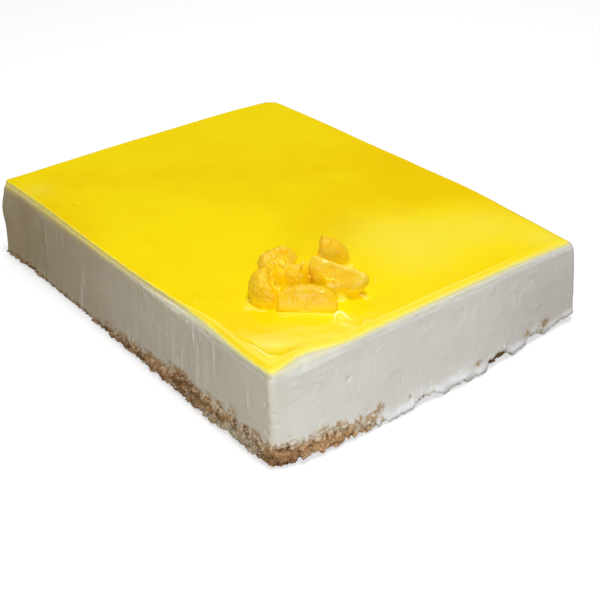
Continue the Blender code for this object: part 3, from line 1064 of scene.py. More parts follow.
    def build(self) -> Piece:
        """Build the mousse and let it stand for its solid.

        Returns:
            The finished piece.
        """
        form = self.form
        outline = form.outline(self.pitch)
        u, v = outline.u, outline.v
        hem = self.hem_heights(outline)
        shelf = form.crumb_top + form.contact_gap
        inset = form.inset_at(u, v)
        across, down = form.rim(inset)
        top = form.mousse_top - down
        underside = (
            (shelf, 3.2), (shelf, 1.3), (np.minimum(hem + self.hem_lip, shelf), 1.0),
            (hem, 0.62), (hem, 0.30),
        )
        rows = [form.cut(u, v, height, -inward * self.hem_thickness) for height, inward in underside]
        shares = np.arange(self.side_rings + 1) / self.side_rings
        heights = hem + (top - hem) * shares[:, None]
        relief = self.relief(outline, heights, shares)
        rolled = self.hem_lip * (1 - smoothstep(0.0, self.hem_round, heights - hem)) ** 2
        swing = 0.5 + wander(points_at(u, v, 0.0), self.bulge_length, 7.0)
        bulge = self.lip_bulge * swing * (1 - smoothstep(*self.bulge_hems, hem))
        bulge = bulge * bell(heights - hem - self.bulge_rise, self.bulge_reach)
        bulge = bulge + outline.spread(self.lips, heights)
        rows += list(form.cut(u, v, heights, relief - rolled + bulge))
        even, uneven = self.rim_roughness
        wide, narrow = self.rim_lengths
        roughness = even + uneven * np.clip((inset - form.edge_inset) / self.rough_inset, 0.0, 1.0)
        for step in range(1, self.rim_rings + 1):
            share = step / self.rim_rings
            angle = math.pi / 2 * share
            z = top + down * math.sin(angle)
            places = points_at(u, v, z * 1.5)
            rough = wander(places, wide, 11.0) + 0.6 * wander(places, narrow, 12.0)
            push = relief[-1] * (1 - share) + roughness * rough * 4 * share * (1 - share)
            rows.append(form.cut(u, v, z, push - across * (1 - math.cos(angle))))
        rows.append(form.cut(u, v, form.mousse_top, -across - self.cap_inset))
        points = np.stack(rows)
        sink = form.droop(points[..., 0], points[..., 1])
        points[..., 2] -= sink * smoothstep(0.7, 1.0, points[..., 2] / form.mousse_top)
        piece = MeshMaker.finish("mousse_body", MeshMaker.rings(points), self.finish)
        MeshMaker.store(piece.data, **self.tints(outline, points, hem))
        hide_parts("lemon_mousse")
        return piece

    def tints(self, outline: Outline, points: Floats, hem: Floats) -> dict[str, Floats]:
        """Work out where crumb shows through thin mousse and where jelly tints the rim, and where light and
        shade are painted: highlights on the lips and lumps, warm light under the left rim, shade on the rim's
        rounding and on the far left face.

        Args:
            outline: The stations.
            points: The mousse's points, of shape (rings, stations, 3).
            hem: The hem's height at each station.

        Returns:
            The share of each tint at each point, by the attribute's name.
        """
        x, y, heights = np.moveaxis(points, -1, 0)
        u, v, top = outline.u, outline.v, self.form.mousse_top
        left = outline.on(Side.LEFT)
        flush = CrumbBase.flush_share(outline, hem)
        above = np.maximum(heights - hem, 0.0)
        cloud = wander(points, self.cloud_length, 13.0)
        thin = outline.spread(self.thin_spots, heights) / MM + 1.1 * flush * np.exp(-above / self.film_height)
        short, long = self.film_lengths
        thin = thin * (0.8 + 0.9 * wander(points, short, 9.0) + 0.6 * wander(points, long, 10.0))
        # the jelly's yellow in the rim, deepened and strengthened on the left as painted light, plus a warm
        # strip of painted light along the upper left face
        shallow, deep = self.bleed_and_light_depths
        depth = shallow + (deep - shallow) * smoothstep(*self.left_light_deepening, v) * left
        strength = 0.2 + 0.75 * smoothstep(*self.left_light_onset, v) * left
        jelly_bleed_and_light = smoothstep(top - depth, top - 0.1 * MM, heights) * (0.75 + 0.5 * cloud) * strength
        low, high = (top - depth for depth in self.warm_light_depths)
        warm_light_strip = left * smoothstep(*self.warm_light_zone, v) * smoothstep(low, high, heights)
        # painted highlight: whiter lips near the hem, lumps, and a band along the upper left face
        broken = 0.6 + 0.8 * wander(points, self.lip_highlight_length, 14.0)
        lip_highlight = (1 - flush) * np.exp(-above / self.lip_highlight_height) * broken
        white = outline.spread(self.highlight_spots, heights) + 0.7 * outline.spread(self.lips, heights)
        lip_highlight = lip_highlight + white / MM
        upper = smoothstep(top - self.left_highlight_depth, top, heights)
        lip_highlight = lip_highlight + 0.5 * left * smoothstep(*self.left_highlight_zone, v) * upper
        # painted shade on the rim's upward rounding, weighted by side, most on the near left
        weights = {
            Side.FRONT: np.full(u.shape, 0.7),
            Side.RIGHT: 0.7 - 0.28 * smoothstep(*self.right_rim_shade_zone, v),
            Side.BACK: 0.42 * smoothstep(*self.back_rim_shade_zone, u),
            Side.LEFT: 1.2 - 1.2 * smoothstep(*self.left_rim_shade_zone, v),
        }
        weight = np.select([outline.on(side) for side in weights], list(weights.values()))
        down = self.form.rim(self.form.inset_at(u, v))[1]
        rim_shade = weight * smoothstep(0.1, 0.85, (heights - top + down) / down) * (0.85 + 0.2 * cloud)
        # painted shade: the far half of the left face made darker and warmer
        age = smoothstep(*self.far_shade_across, x) * smoothstep(*self.far_shade_along, y) * (0.9 + 0.15 * cloud)
        return {"thin": thin, "jelly_bleed_and_light": jelly_bleed_and_light + 0.2 * warm_light_strip, "lip_highlight": lip_highlight, "rim_shade": rim_shade, "age": age}


@dataclass
class CrumbBase:
    """The pressed crumb base: a craggy core, and loose grains on what shows of its side."""

    form: SlabForm
    mousse: LemonMousse
    finish: CrumbFinish = CrumbFinish()
    pitch: float = 0.75 * MM
    rings: int = 32
    recess: float = 5.5 * MM
    cover: float = 1.5 * MM
    front_stand: float = 0.4 * MM
    left_stands: Profile = (
        (-160, 0.5), (-150, 1.2), (-136, 1.6), (-124, 1.2), (-119, 0.2), (-113, 1.7), (-96, 1.9), (-70, 1.6),
        (-30, 1.3), (20, 0.8), (60, 0.3), (160, 0.5),
    )
    front_undercut: Profile = (
        (-113, 0.3), (-109, 1.2), (-106, 4.6), (-100, 4.0), (-95, 3.2), (-90, 2.8), (-85, 2.0), (-79, 1.2),
        (-74, 3.4), (-66, 2.2), (-58, 1.4), (-50, 1.2),
    )
    left_undercut: float = 0.7 * MM
    undercut_depth: float = 7.5 * MM
    undercut_span: Pair = (-0.9 * MM, 0.5 * MM)
    undercut_lengths: Pair = (2.6 * MM, 6.5 * MM)
    cover_span: Pair = (-0.4 * MM, 1.6 * MM)
    layer_wave: Pair = (0.3 * MM, 2.0 * MM)
    hem_smear: float = 2.5 * MM
    # where the darker brown, partly painted shade, fades out along the front, and the size of its patches
    baked_front: Pair = (-112 * MM, -96 * MM)
    bake_length: float = 9 * MM
    crag_depths: Triple = (1.5 * MM, 0.9 * MM, 0.35 * MM)
    crag_lengths: Triple = (6.0 * MM, 2.7 * MM, 1.2 * MM)
    crag_level: float = 0.45
    smears: tuple[Mark, ...] = marks(
        Side.LEFT, (-136, 6, 16, 6, 1.0), (-116, 3, 10, 4, 0.8), (-98, 4, 8, 4, 0.75), (-60, 4, 20, 2, 0.5),
        (-20, 2, 20, 1.6, 0.45), (-108, 12, 6, 3, 0.5), (-80, 7, 8, 3, 0.45),
    ) + marks(
        Side.FRONT, (-92, 12.5, 16, 2.0, 0.75), (-78, 10, 5, 3, 0.6), (-64, 7, 8, 3, 0.75),
        (-54, 4, 6, 3, 0.8), (-104, 4, 4, 3, 0.4),
    )

    @staticmethod
    def flush_share(outline: Outline, hem: Floats) -> Floats:
        """Say where the crumb lies level with the mousse, and not back under its hem.

        Args:
            outline: The stations.
            hem: The hem's height at each station.

        Returns:
            The share at each station: 1 where it is level.
        """
        share = np.where(outline.on(Side.LEFT), 1.0, smoothstep(*FLUSH_HEMS, hem))
        near = 1 - smoothstep(*FLUSH_FRONT_END, outline.along)
        return np.where(outline.on(Side.FRONT), near, share)

    def insets(self, outline: Outline, hem: Floats, heights: Floats) -> Floats:
        """Work out how far the crumb's side lies inside the cut face.

        Args:
            outline: The stations.
            hem: The hem's height at each station.
            heights: The rings' heights, of shape (rings, stations).

        Returns:
            The insets, negative where the crumb stands out, of the same shape as heights.
        """
        along, left, front = outline.along, outline.on(Side.LEFT), outline.on(Side.FRONT)
        stand = np.where(left, read_profile(self.left_stands, along), self.front_stand)
        under = np.where(front, read_profile(self.front_undercut, along), self.left_undercut)
        places = points_at(outline.u, outline.v, 0.0)
        short, long = self.undercut_lengths
        under = under * (1 + 0.7 * wander(places, short, 21.0) + 0.5 * wander(places, long, 22.0))
        inset = (stand + self.cover) * smoothstep(*self.cover_span, heights - hem) - stand
        inset = inset + self.undercut_depth * (1 - smoothstep(*self.undercut_span, heights - under))
        return self.recess + (inset - self.recess) * self.flush_share(outline, hem)

    def build(self) -> list[Piece]:
        """Build the core and its grains, which together stand for the solid.

        Returns:
            The finished pieces.
        """
        form = self.form
        outline = form.outline(self.pitch)
        u, v = outline.u, outline.v
        hem = self.mousse.hem_heights(outline)
        levels = np.linspace(0, 1, self.rings)[:, None] * np.ones_like(u)
        heights = (form.crumb_top + form.contact_gap) * levels
        inset = self.insets(outline, hem, heights)
        face = form.cut(u, v, heights, -inset)
        lumps = [billow(face, length, seed) for length, seed in zip(self.crag_lengths, (1.0, 2.0, 3.0))]
        crags = sum(depth * (lump - self.crag_level) for depth, lump in zip(self.crag_depths, lumps))
        points = form.cut(u, v, heights, crags - inset)
        wave_depth, wave_length = self.layer_wave
        points[1:-1, :, 2] += wave_depth * wander(points[1:-1], wave_length, 6.0)
        points[..., 2] = np.maximum(points[..., 2], 0.0)
        points[0, :, 2] = 0.0
        core = MeshMaker.finish("crumb_core", MeshMaker.rings(points), self.finish)
        flush = self.flush_share(outline, hem)
        smear = outline.spread(self.smears, heights) / MM
        smear = smear + 0.35 * flush * (1 - smoothstep(0.0, self.hem_smear, hem - heights))
        # darker brown all along the left and at the near corner: partly crust tone, partly painted shade
        bake = np.where(outline.on(Side.LEFT), 0.9, 1 - smoothstep(*self.baked_front, u))
        bake = bake * (0.75 + 0.9 * wander(face, self.bake_length, 8.0))
        # grain tone, with painted light and shade: pale on the crags' tops, dark in their creases and in the
        # recess under the hem
        tone = (0.45 * lumps[0] + 0.55 * lumps[1]) * flush + 0.08 * (1 - flush)
        shown = smoothstep(0.0, 1.2 * MM, hem + 0.6 * MM - heights) * smoothstep(0.2 * MM, 1.0 * MM, heights)
        shown = shown * flush * (inset < self.cover) * (heights < form.crumb_top)
        MeshMaker.store(core.data, smear=smear, bake=bake, tone=tone, shown=shown)
        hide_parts("crumb_base")
        grains = CrumbGrains(core, self.finish).build()
        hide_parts("crumb_base")
        return [core, grains]


class GeometryTree:
    """A Geometry Nodes tree with named inputs, whose result is taken as a plain mesh."""

    kinds = {float: "NodeSocketFloat", int: "NodeSocketInt", bpy.types.Material: "NodeSocketMaterial"}

    def __init__(self, name: str, **inputs: object) -> None:
        """Start the tree.

        Args:
            name: The tree's name.
            **inputs: The value that the modifier gives each input, by name.
        """
        self.name = name
        self.tree = bpy.data.node_groups.new(name, "GeometryNodeTree")
        self.sheet = NodeSheet(self.tree)
        self.values: dict[str, object] = {}
        for way in ("INPUT", "OUTPUT"):
            self.tree.interface.new_socket(name="Geometry", in_out=way, socket_type="NodeSocketGeometry")
        for title, value in inputs.items():
            kind = self.kinds[type(value)]
            made = self.tree.interface.new_socket(name=title, in_out="INPUT", socket_type=kind)
            self.values[made.identifier] = value
        self.start = self.sheet.add("NodeGroupInput").outputs
        self.end = self.sheet.add("NodeGroupOutput")

    def attribute(self, name: str) -> Socket:
        """Return the output that reads a named attribute of the geometry as a number."""
        return self.sheet.add("GeometryNodeInputNamedAttribute", {"Name": name}, data_type="FLOAT").outputs[0]

    def random(self, low: object, high: object, seed: int) -> Socket:
        """Add a random number, or a random vector where low is a tuple.

        Args:
            low: The lowest value, or its socket.
            high: The highest value, or its socket.
            seed: The seed.

        Returns:
            The value's socket.
        """
        kind, first, out = ("FLOAT_VECTOR", 0, 0) if isinstance(low, tuple) else ("FLOAT", 2, 1)
        feeds = {first: low, first + 1: high, "Seed": seed}
        return self.sheet.add("FunctionNodeRandomValue", feeds, data_type=kind).outputs[out]

    def through(self, kind: str, geometry: Socket, **feeds: object) -> Socket:
        """Pass the geometry through one more node, and return what comes out."""
        return self.sheet.add(kind, {"Geometry": geometry, **feeds}).outputs[0]

    def scatter(self, mask: str) -> Socket:
        """Scatter points over the faces, as thickly as the input Density where the named attribute is 1."""
        feeds = {
            "Mesh": self.start["Geometry"], "Seed": self.start["Seed"],
            "Density": self.sheet.math("MULTIPLY", self.attribute(mask), self.start["Density"]),
        }
        return self.sheet.add("GeometryNodeDistributePointsOnFaces", feeds).outputs["Points"]

    def balls(self, points: Socket, detail: int, **placing: object) -> Socket:
        """Set a ball on each point.

        Args:
            points: The points.
            detail: How often the ball's faces are divided.
            **placing: What feeds the instances' Scale and Rotation.

        Returns:
            The balls, as instances.
        """
        ball = self.sheet.add("GeometryNodeMeshIcoSphere", {"Radius": 1.0, "Subdivisions": detail})
        feeds = {"Points": points, "Instance": ball.outputs["Mesh"], **placing}
        return self.sheet.add("GeometryNodeInstanceOnPoints", feeds).outputs[0]

    def stretched(self, width: Socket, factor: Socket) -> Socket:
        """Return a size that is as long as its width times a factor."""
        feeds = {"X": width, "Y": width, "Z": self.sheet.math("MULTIPLY", width, factor)}
        return self.sheet.add("ShaderNodeCombineXYZ", feeds).outputs[0]

    def keep(self, geometry: Socket, name: str, domain: str, value: object) -> Socket:
        """Return the geometry with a number stored on its POINT or INSTANCE domain as a named attribute."""
        feeds = {"Geometry": geometry, "Name": name, "Value": value}
        return self.sheet.add(
            "GeometryNodeStoreNamedAttribute", feeds, data_type="FLOAT", domain=domain,
        ).outputs[0]

    def result(self, carrier: Piece, geometry: Socket) -> bpy.types.Mesh:
        """Dress the geometry, run the tree on an object and take what it makes as a plain mesh.

        Args:
            carrier: The object that carries the modifier for the while.
            geometry: What the tree puts out.

        Returns:
            The mesh.
        """
        dressed = self.through("GeometryNodeSetMaterial", geometry, Material=self.start["Material"])
        self.sheet.feed(self.end, {"Geometry": dressed})
        modifier = carrier.modifiers.new(self.name, "NODES")
        modifier.node_group = self.tree
        for identifier, value in self.values.items():
            modifier[identifier] = value
        graph = bpy.context.evaluated_depsgraph_get()
        mesh = bpy.data.meshes.new_from_object(carrier.evaluated_get(graph), depsgraph=graph)
        carrier.modifiers.remove(modifier)
        mesh.name = self.name
        return mesh


@dataclass
class CrumbGrains:
    """Loose crumb grains that stick to the shown part of the crumb core's side."""

    core: Piece
    finish: CrumbFinish
    density: float = 480000.0
    smallest: float = 0.25 * MM
    largest: float = 0.9 * MM
    raggedness: float = 0.4 * MM
    seed: int = 17

    def build(self) -> Piece:
        """Scatter the grains by Geometry Nodes.

        Returns:
            The finished piece.
        """
        tree = GeometryTree(
            "crumb_grains", Density=self.density, Smallest=self.smallest, Largest=self.largest,
            Raggedness=self.raggedness, Seed=self.seed, Material=self.finish.material(),
        )
        sheet, start = tree.sheet, tree.start
        size = tree.random(start["Smallest"], start["Largest"], 3)
        scale = sheet.vector("SCALE", tree.random((0.6, 0.6, 0.6), (1.0, 1.0, 1.0), 4), size)
        turn = tree.random((0.0, 0.0, 0.0), (6.28, 6.28, 6.28), 5)
        grains = tree.balls(tree.scatter("shown"), 1, Rotation=turn, Scale=scale)
        # grain tone; the lowest tones take some of the painted crevice shade
        grains = tree.keep(grains, "tone", "INSTANCE", tree.random(0.25, 1.0, 6))
        grains = tree.through("GeometryNodeRealizeInstances", grains)
        ragged = sheet.add("ShaderNodeTexNoise", {"Scale": 900.0}).outputs["Color"]
        offset = sheet.vector("SCALE", sheet.vector("SUBTRACT", ragged, (0.5, 0.5, 0.5)), start["Raggedness"])
        mesh = tree.result(self.core, tree.through("GeometryNodeSetPosition", grains, Offset=offset))
        places = np.zeros(len(mesh.vertices) * 3)
        mesh.vertices.foreach_get("co", places)
        places[2::3] = np.maximum(places[2::3], 0.0)
        mesh.vertices.foreach_set("co", places)
        return MeshMaker.finish("crumb_grains", mesh, self.finish)


@dataclass
class MandarinSegment:
    """One mandarin segment: its size and place in millimetres, its turn in degrees, and its look."""

    number: int
    size: Triple
    place: Triple
    turn: Triple
    membrane: float
    sacs: float
    bluntness: float = 2.7
    broken_at: float = -1.0
    # painted highlight: where a pale line crosses the segment, as a share of its half length; 2 puts it past
    # the end, so that none shows
    highlight_line: float = 2.0
    bend: float = 0.24
    inner_width: float = 0.42
    break_depth: float = 0.10
    sides: int = 72
    rings: int = 88
    sink: float = 0.25 * MM

    def shape(self, along: Floats, across: Floats, deep: Floats) -> Floats:
        """Turn points of a unit sphere into the segment's form.

        Args:
            along: The sphere's points along the segment's length.
            across: Their places across it.
            deep: Their places from its thin inner edge to its round back.

        Returns:
            Points of shape (n, 3) in the segment's own frame.
        """
        length, width, depth = (side * MM for side in self.size)
        roundness = np.sqrt(np.maximum(1 - along * along, 1e-9))
        blunt = (1 - np.minimum(np.abs(along), 1.0) ** self.bluntness) ** (1 / self.bluntness)
        across = across * blunt / roundness
        deep = deep * blunt / roundness
        wedge = self.inner_width + (1 - self.inner_width) * smoothstep(-1.0, 0.35, deep)
        fibres = wander(points_at(across * 3.0, deep, 0.0), 0.55, self.number)
        along = np.maximum(along, self.broken_at + self.break_depth * fibres)
        bent = deep * depth / 2 - self.bend * depth * along * along
        return points_at(along * length / 2, across * wedge * width / 2, bent)

    def build(self, form: SlabForm, finish: MandarinFinish) -> Piece:
        """Build the segment with its juice sacs, resting in the jelly.

        Args:
            form: The slab's form.
            finish: The fruit's finish.

        Returns:
            The finished piece.
        """
        model = bmesh.new()
        bmesh.ops.create_uvsphere(model, u_segments=self.sides, v_segments=self.rings, radius=1.0)
        ball = np.array([tuple(vertex.co) for vertex in model.verts])
        deep, across, along = ball.T
        points = self.shape(along, across, deep)
        sac = wander(points / np.array([1.0, 1.0, 2.6]), 2.4 * MM, self.number + 0.5)
        lumps = wander(points, 6.5 * MM, self.number + 3.5)
        outward = (ball / np.linalg.norm(ball, axis=1, keepdims=True))[:, [2, 1, 0]]
        tips = smoothstep(1.0, 0.86, np.abs(along))
        swell = self.sacs * MM * (np.abs(sac) * 1.6 - 0.5) * tips + 0.8 * MM * lumps
        for vertex, point in zip(model.verts, points + outward * swell[:, None]):
            vertex.co = point
        roll, pitch, heading = (
            Matrix.Rotation(math.radians(angle), 4, axis) for angle, axis in zip(self.turn, "XYZ")
        )
        x, y, lift = (part * MM for part in self.place)
        place = Matrix.Translation((x + form.centre[0], y + form.centre[1], form.height + lift))
        bmesh.ops.transform(model, matrix=place @ (heading @ pitch @ roll), verts=model.verts)
        for vertex in model.verts:
            vertex.co.z = max(vertex.co.z, form.height - self.sink)
        bmesh.ops.recalc_face_normals(model, faces=model.faces)
        piece = MeshMaker.finish(f"mandarin_fruit_{self.number}", model, finish)
        edge = smoothstep(-0.7, -1.0, deep) * 0.5 + self.membrane
        # painted highlight: a pale line across the segment; past it the membrane thins, so the flesh shows
        # deeper orange
        highlight_line = 0.8 * bell(along - self.highlight_line - 0.3 * across, 0.09)
        orange_past_line = 0.5 * smoothstep(self.highlight_line + 0.25, self.highlight_line + 0.75, along)
        rise = np.array([vertex.co.z for vertex in piece.data.vertices]) - form.height
        foot = 1 - smoothstep(0.6 * MM, 9.0 * MM, rise + 2.0 * MM * lumps)
        MeshMaker.store(piece.data, membrane=edge + highlight_line - orange_past_line + 0.35 * lumps, foot=foot)
        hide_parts(f"mandarin_segment_{self.number}")
        return piece


MANDARIN_PILE = (
    MandarinSegment(1, (32, 19, 16), (-74.6, -91.0, 7.3), (-68, 3, 52), membrane=0.10, sacs=0.80),
    MandarinSegment(2, (35, 14, 17), (-62.0, -117.2, 6.0), (-62, 0, -41),
                    membrane=0.26, sacs=0.36, highlight_line=-0.35),
    MandarinSegment(3, (37, 17, 17), (-37.1, -114.5, 9.0), (174, 10, -62), membrane=0.55, sacs=0.38),
    MandarinSegment(4, (34, 15, 20), (-21.3, -81.3, 7.0), (-14, 15, -36),
                    membrane=0.45, sacs=0.50, broken_at=-0.16),
    MandarinSegment(5, (24, 13, 17), (-48.5, -91.1, 6.2), (72, 2, -38),
                    membrane=0.05, sacs=0.65, bluntness=2.9),
    MandarinSegment(6, (28, 15, 15), (-50.2, -69.6, 6.2), (-80, 0, 10), membrane=0.55, sacs=0.65),
)


@dataclass(frozen=True)
class Ridge:
    """A raised line in the jelly's surface, as a wrinkle or a run of syrup leaves it, in millimetres."""

    height: float
    half_width: float
    points: Profile

    def rise(self, x: Floats, y: Floats) -> Floats:
        """Work out how far the ridge lifts the surface.

        Args:
            x: Places across the slab, in metres.
            y: Places along it.

        Returns:
            The rise at each place, in metres.
        """
        nearest = np.full(x.shape, 1.0)
        share_there = np.zeros(x.shape)
        for index, (start, end) in enumerate(zip(self.points, self.points[1:])):
            a, b = np.array(start) * MM, np.array(end) * MM
            span = b - a
            share = np.clip(((x - a[0]) * span[0] + (y - a[1]) * span[1]) / (span @ span), 0, 1)
            distance = np.hypot(x - a[0] - share * span[0], y - a[1] - share * span[1])
            closer = distance < nearest
            nearest = np.where(closer, distance, nearest)
            share_there = np.where(closer, (index + share) / (len(self.points) - 1), share_there)
        taper = np.sqrt(np.sin(math.pi * np.clip(share_there, 0.04, 0.96)))
        return self.height * MM * taper * bell(nearest, self.half_width * MM)


@dataclass
class PileGlaze:
    """How high the glaze stands between the fruit, read from the heights of the pile itself."""

    form: SlabForm
    low: Pair = (-114 * MM, -152 * MM)
    high: Pair = (16 * MM, -40 * MM)
    pitch: float = 0.7 * MM
    curve: float = 14.0 * MM
    reach: float = 15 * MM
    crowd_reach: float = 9.0 * MM
    crowd_limits: Pair = (0.51, 0.62)
    fill: float = 0.90
    gap_depths: Pair = (0.3 * MM, 2.2 * MM)
    gap_blur: float = 1.0 * MM
    level: Floats = field(init=False)
    inside: Floats = field(init=False)

    def settle(self, fruit: list[BVHTree]) -> None:
        """Work out the glaze's level over a grid: high in the hollows of the pile, and none outside it.

        Args:
            fruit: The fruit's surfaces.
        """
        tops = self.pile_heights(fruit)
        count = round(self.reach / self.pitch)
        steps = np.arange(-count, count + 1)
        bends = (steps * self.pitch) ** 2 / (2 * self.curve)
        closed = tops
        for sign, pick in ((-1, np.max), (1, np.min)):
            for axis in (0, 1):
                shifted = [np.roll(closed, step, axis) + sign * bend for step, bend in zip(steps, bends)]
                closed = pick(shifted, axis=0)
        crowd = self.blur(smoothstep(1 * MM, 3 * MM, tops), self.crowd_reach)
        gap = self.blur(smoothstep(*self.gap_depths, closed - tops), self.gap_blur)
        self.inside = smoothstep(*self.crowd_limits, crowd) * np.minimum(1.6 * gap, 1.0)
        self.level = self.blur(closed * self.fill * self.inside, self.gap_blur)

    def blur(self, values: Floats, radius: float) -> Floats:
        """Soften the grid's values with a round bell.

        Args:
            values: The grid's values.
            radius: The bell's radius.

        Returns:
            The softened values.
        """
        count = math.ceil(2.5 * radius / self.pitch)
        steps = np.arange(-count, count + 1)
        weights = bell(steps * self.pitch, radius)
        for axis in (0, 1):
            values = sum(w * np.roll(values, step, axis) for step, w in zip(steps, weights / weights.sum()))
        return values

    def pile_heights(self, fruit: list[BVHTree]) -> Floats:
        """Read how high the pile stands over the jelly, at each place of the grid.

        Args:
            fruit: The fruit's surfaces.

        Returns:
            The heights, of shape (rows, columns), 0 where there is no fruit.
        """
        xs = np.arange(self.low[0], self.high[0], self.pitch)
        ys = np.arange(self.low[1], self.high[1], self.pitch)
        tops = np.zeros((len(ys), len(xs)))
        for row, y in enumerate(ys):
            for column, x in enumerate(xs):
                hits = [tree.ray_cast(Vector((x, y, 0.2)), DOWN)[0] for tree in fruit]
                rises = [hit.z - self.form.height for hit in hits if hit is not None]
                tops[row, column] = max(rises, default=0.0)
        return np.maximum(tops, 0.0)

    def read(self, values: Floats, x: Floats, y: Floats) -> Floats:
        """Read the grid's values at any places.

        Args:
            values: The grid's values.
            x: Places across the slab.
            y: Places along it.

        Returns:
            The values there, held level past the grid's edge.
        """
        column = np.clip((x - self.low[0]) / self.pitch, 0, values.shape[1] - 1.001)
        row = np.clip((y - self.low[1]) / self.pitch, 0, values.shape[0] - 1.001)
        c, r = column.astype(int), row.astype(int)
        a, b = column - c, row - r
        lower = (1 - a) * values[r, c] + a * values[r, c + 1]
        upper = (1 - a) * values[r + 1, c] + a * values[r + 1, c + 1]
        return (1 - b) * lower + b * upper


@dataclass
class JellyTop:
    """What is known at each point of the jelly's top, in arrays of one shape.

    u and v are nominal places, and x and y true ones. inside is the depth inside the edge, reach the edge's
    width, front how far a place belongs to the front, crest the ridges' rise, wet how much the fruit wets a
    place, level the glaze's height and pulp how pulpy it is.
    """

    u: Floats
    v: Floats
    x: Floats
    y: Floats
    inside: Floats
    reach: Floats
    front: Floats
    crest: Floats
    wet: Floats
    level: Floats
    pulp: Floats


@dataclass
class LemonJelly:
    """The jelly sheet: a level glossy top with wrinkles, a thin rim and a fillet round the fruit."""

    form: SlabForm
    finish: JellyFinish = JellyFinish()
    fine_ends: Pair = (2 * MM, -54 * MM)
    fine_pitch: float = 0.5 * MM
    coarse_pitch: float = 2.4 * MM
    edge_lines: tuple[float, ...] = (0.0, 0.2, 0.45, 0.75, 1.1, 1.6, 2.3, 3.4, 4.8, 6.4)
    edge_reach: Triple = (5.5 * MM, 0.8 * MM, 1.0 * MM)
    edge_powers: Pair = (1.5, 2.2)
    edge_dip: float = 0.06 * MM
    edge_wobble: float = 0.5 * MM
    edge_wobble_length: float = 3.5 * MM
    front_zone: Pair = (-50 * MM, -110 * MM)
    far_zone: Pair = (-20 * MM, 60 * MM)
    thin_reach: float = 1.0 * MM
    thin_front: Pair = (16 * MM, 5 * MM)
    thin_left: Pair = (-100 * MM, -112 * MM)
    thin_left_along: Pair = (-120 * MM, -40 * MM)
    faint_along: Pair = (120 * MM, -40 * MM)
    lit_left: Pair = (-105 * MM, -112 * MM)
    # where the painted glow along the jelly's left edge lies
    lit_left_along: Pair = (-140 * MM, 20 * MM)
    front_thinning: float = 2.75
    under_depth: float = 0.5 * MM
    side_rings: tuple[Pair, ...] = ((0.5, 0.12 * MM), (1.0, -0.3 * MM))
    # strength of the painted glow near the fruit
    wet_glow: float = 0.4
    inset_reach: float = 30 * MM
    calm_edge: Pair = (1 * MM, 7 * MM)
    wave_depth: float = 0.16 * MM
    wave_length: float = 48 * MM
    dimple_depth: float = 0.035 * MM
    dimple_length: float = 9 * MM
    fillet_height: float = 1.4 * MM
    fillet_reach: float = 1.5 * MM
    wet_low: Pair = (-105 * MM, -145 * MM)
    wet_high: Pair = (5 * MM, -48 * MM)
    wet_level: float = 1.5 * MM
    wet_search: float = 8 * MM
    amber_length: float = 5 * MM
    pulp_depths: Pair = (0.9 * MM, 0.2 * MM)
    pulp_lengths: Pair = (4.2 * MM, 2.0 * MM)
    pool_depths: Pair = (0.8 * MM, 4.0 * MM)
    ridges: tuple[Ridge, ...] = (
        Ridge(0.75, 0.95, (
            (-110.8, -125.6), (-110.7, -130.3), (-110.4, -136.4), (-110.5, -140.2), (-110.0, -143.8),
            (-108.2, -146.3), (-105.5, -148.1),
        )),
        Ridge(0.55, 0.8, ((-99.5, -148.8), (-97.1, -148.7), (-94.8, -149.3), (-91.5, -152.1))),
        Ridge(1.1, 1.0, (
            (-59.1, -138.5), (-56.2, -135.3), (-52.3, -134.2), (-50.9, -136.1), (-51.6, -140.5),
            (-50.5, -143.6),
        )),
        Ridge(0.5, 0.8, ((-53.5, -154.3), (-48.4, -151.6), (-44.3, -149.4), (-42.7, -149.3))),
        Ridge(0.35, 1.2, ((-57.4, -141.3), (-56.6, -144.0), (-55.8, -147.0))),
        Ridge(0.35, 0.8, ((-80.3, -115.2), (-76.4, -118.5))),
        Ridge(0.55, 0.6, ((-84.6, -87.0), (-87.3, -92.5), (-87.4, -98.9), (-85.3, -105.0), (-80.0, -108.2))),
    )
    hollows: Spots = ((-105, -136.5, 6.5, -0.22), (-96, -143, 5.5, -0.15), (-54.5, -141, 4, -0.3))
    # pools of painted sheen: soft reflections placed on the top
    sheen_spots: Spots = (
        (-105, -137, 6, 0.45), (-99, -141, 5, 0.3), (-90, -156, 4, 0.6),
        (-57.5, -145, 4.5, 0.5), (30, -75, 26, 0.25), (26, -112, 24, 0.25),
        (92, -112, 24, 0.25), (110, -148, 18, 0.35), (60, -100, 26, 0.25),
        (-112, 130, 12, 0.2),
    )
    golden_spots: Spots = (
        (84, -24, 42, 0.5), (60, 60, 50, 0.15), (24, 70, 40, 0.05),
        (100, 40, 40, 0.35), (0, 10, 40, 0.15), (40, -110, 55, -0.6),
        (-80, -60, 50, -0.12),
        (-90, 60, 40, -0.1), (30, 150, 60, -0.35),
    )
    # spots of painted light on the jelly by the fruit
    lit_spots: Spots = ((-31, -129.5, 4.5, 0.75), (-82.5, -103.5, 3.5, 0.5), (-85, -95.5, 3.5, 0.4))

    def lines(self, half: float, fine_end: float) -> Floats:
        """Space the sheet's grid lines across one direction: fine at the edges and in the near stretch.

        Args:
            half: Half the sheet's nominal size.
            fine_end: Where the fine stretch ends.

        Returns:
            The lines' places, from -half to half.
        """
        edge = np.array(self.edge_lines) * MM
        inner = half - edge[-1]
        stretches = ((-inner, fine_end, self.fine_pitch), (fine_end, inner, self.coarse_pitch))
        parts = [edge - half]
        for start, end, pitch in stretches:
            count = round((end - start) / pitch)
            parts.append(start + (end - start) * np.arange(1, count + 1) / count)
        return np.concatenate([*parts, half - edge[-2::-1]])

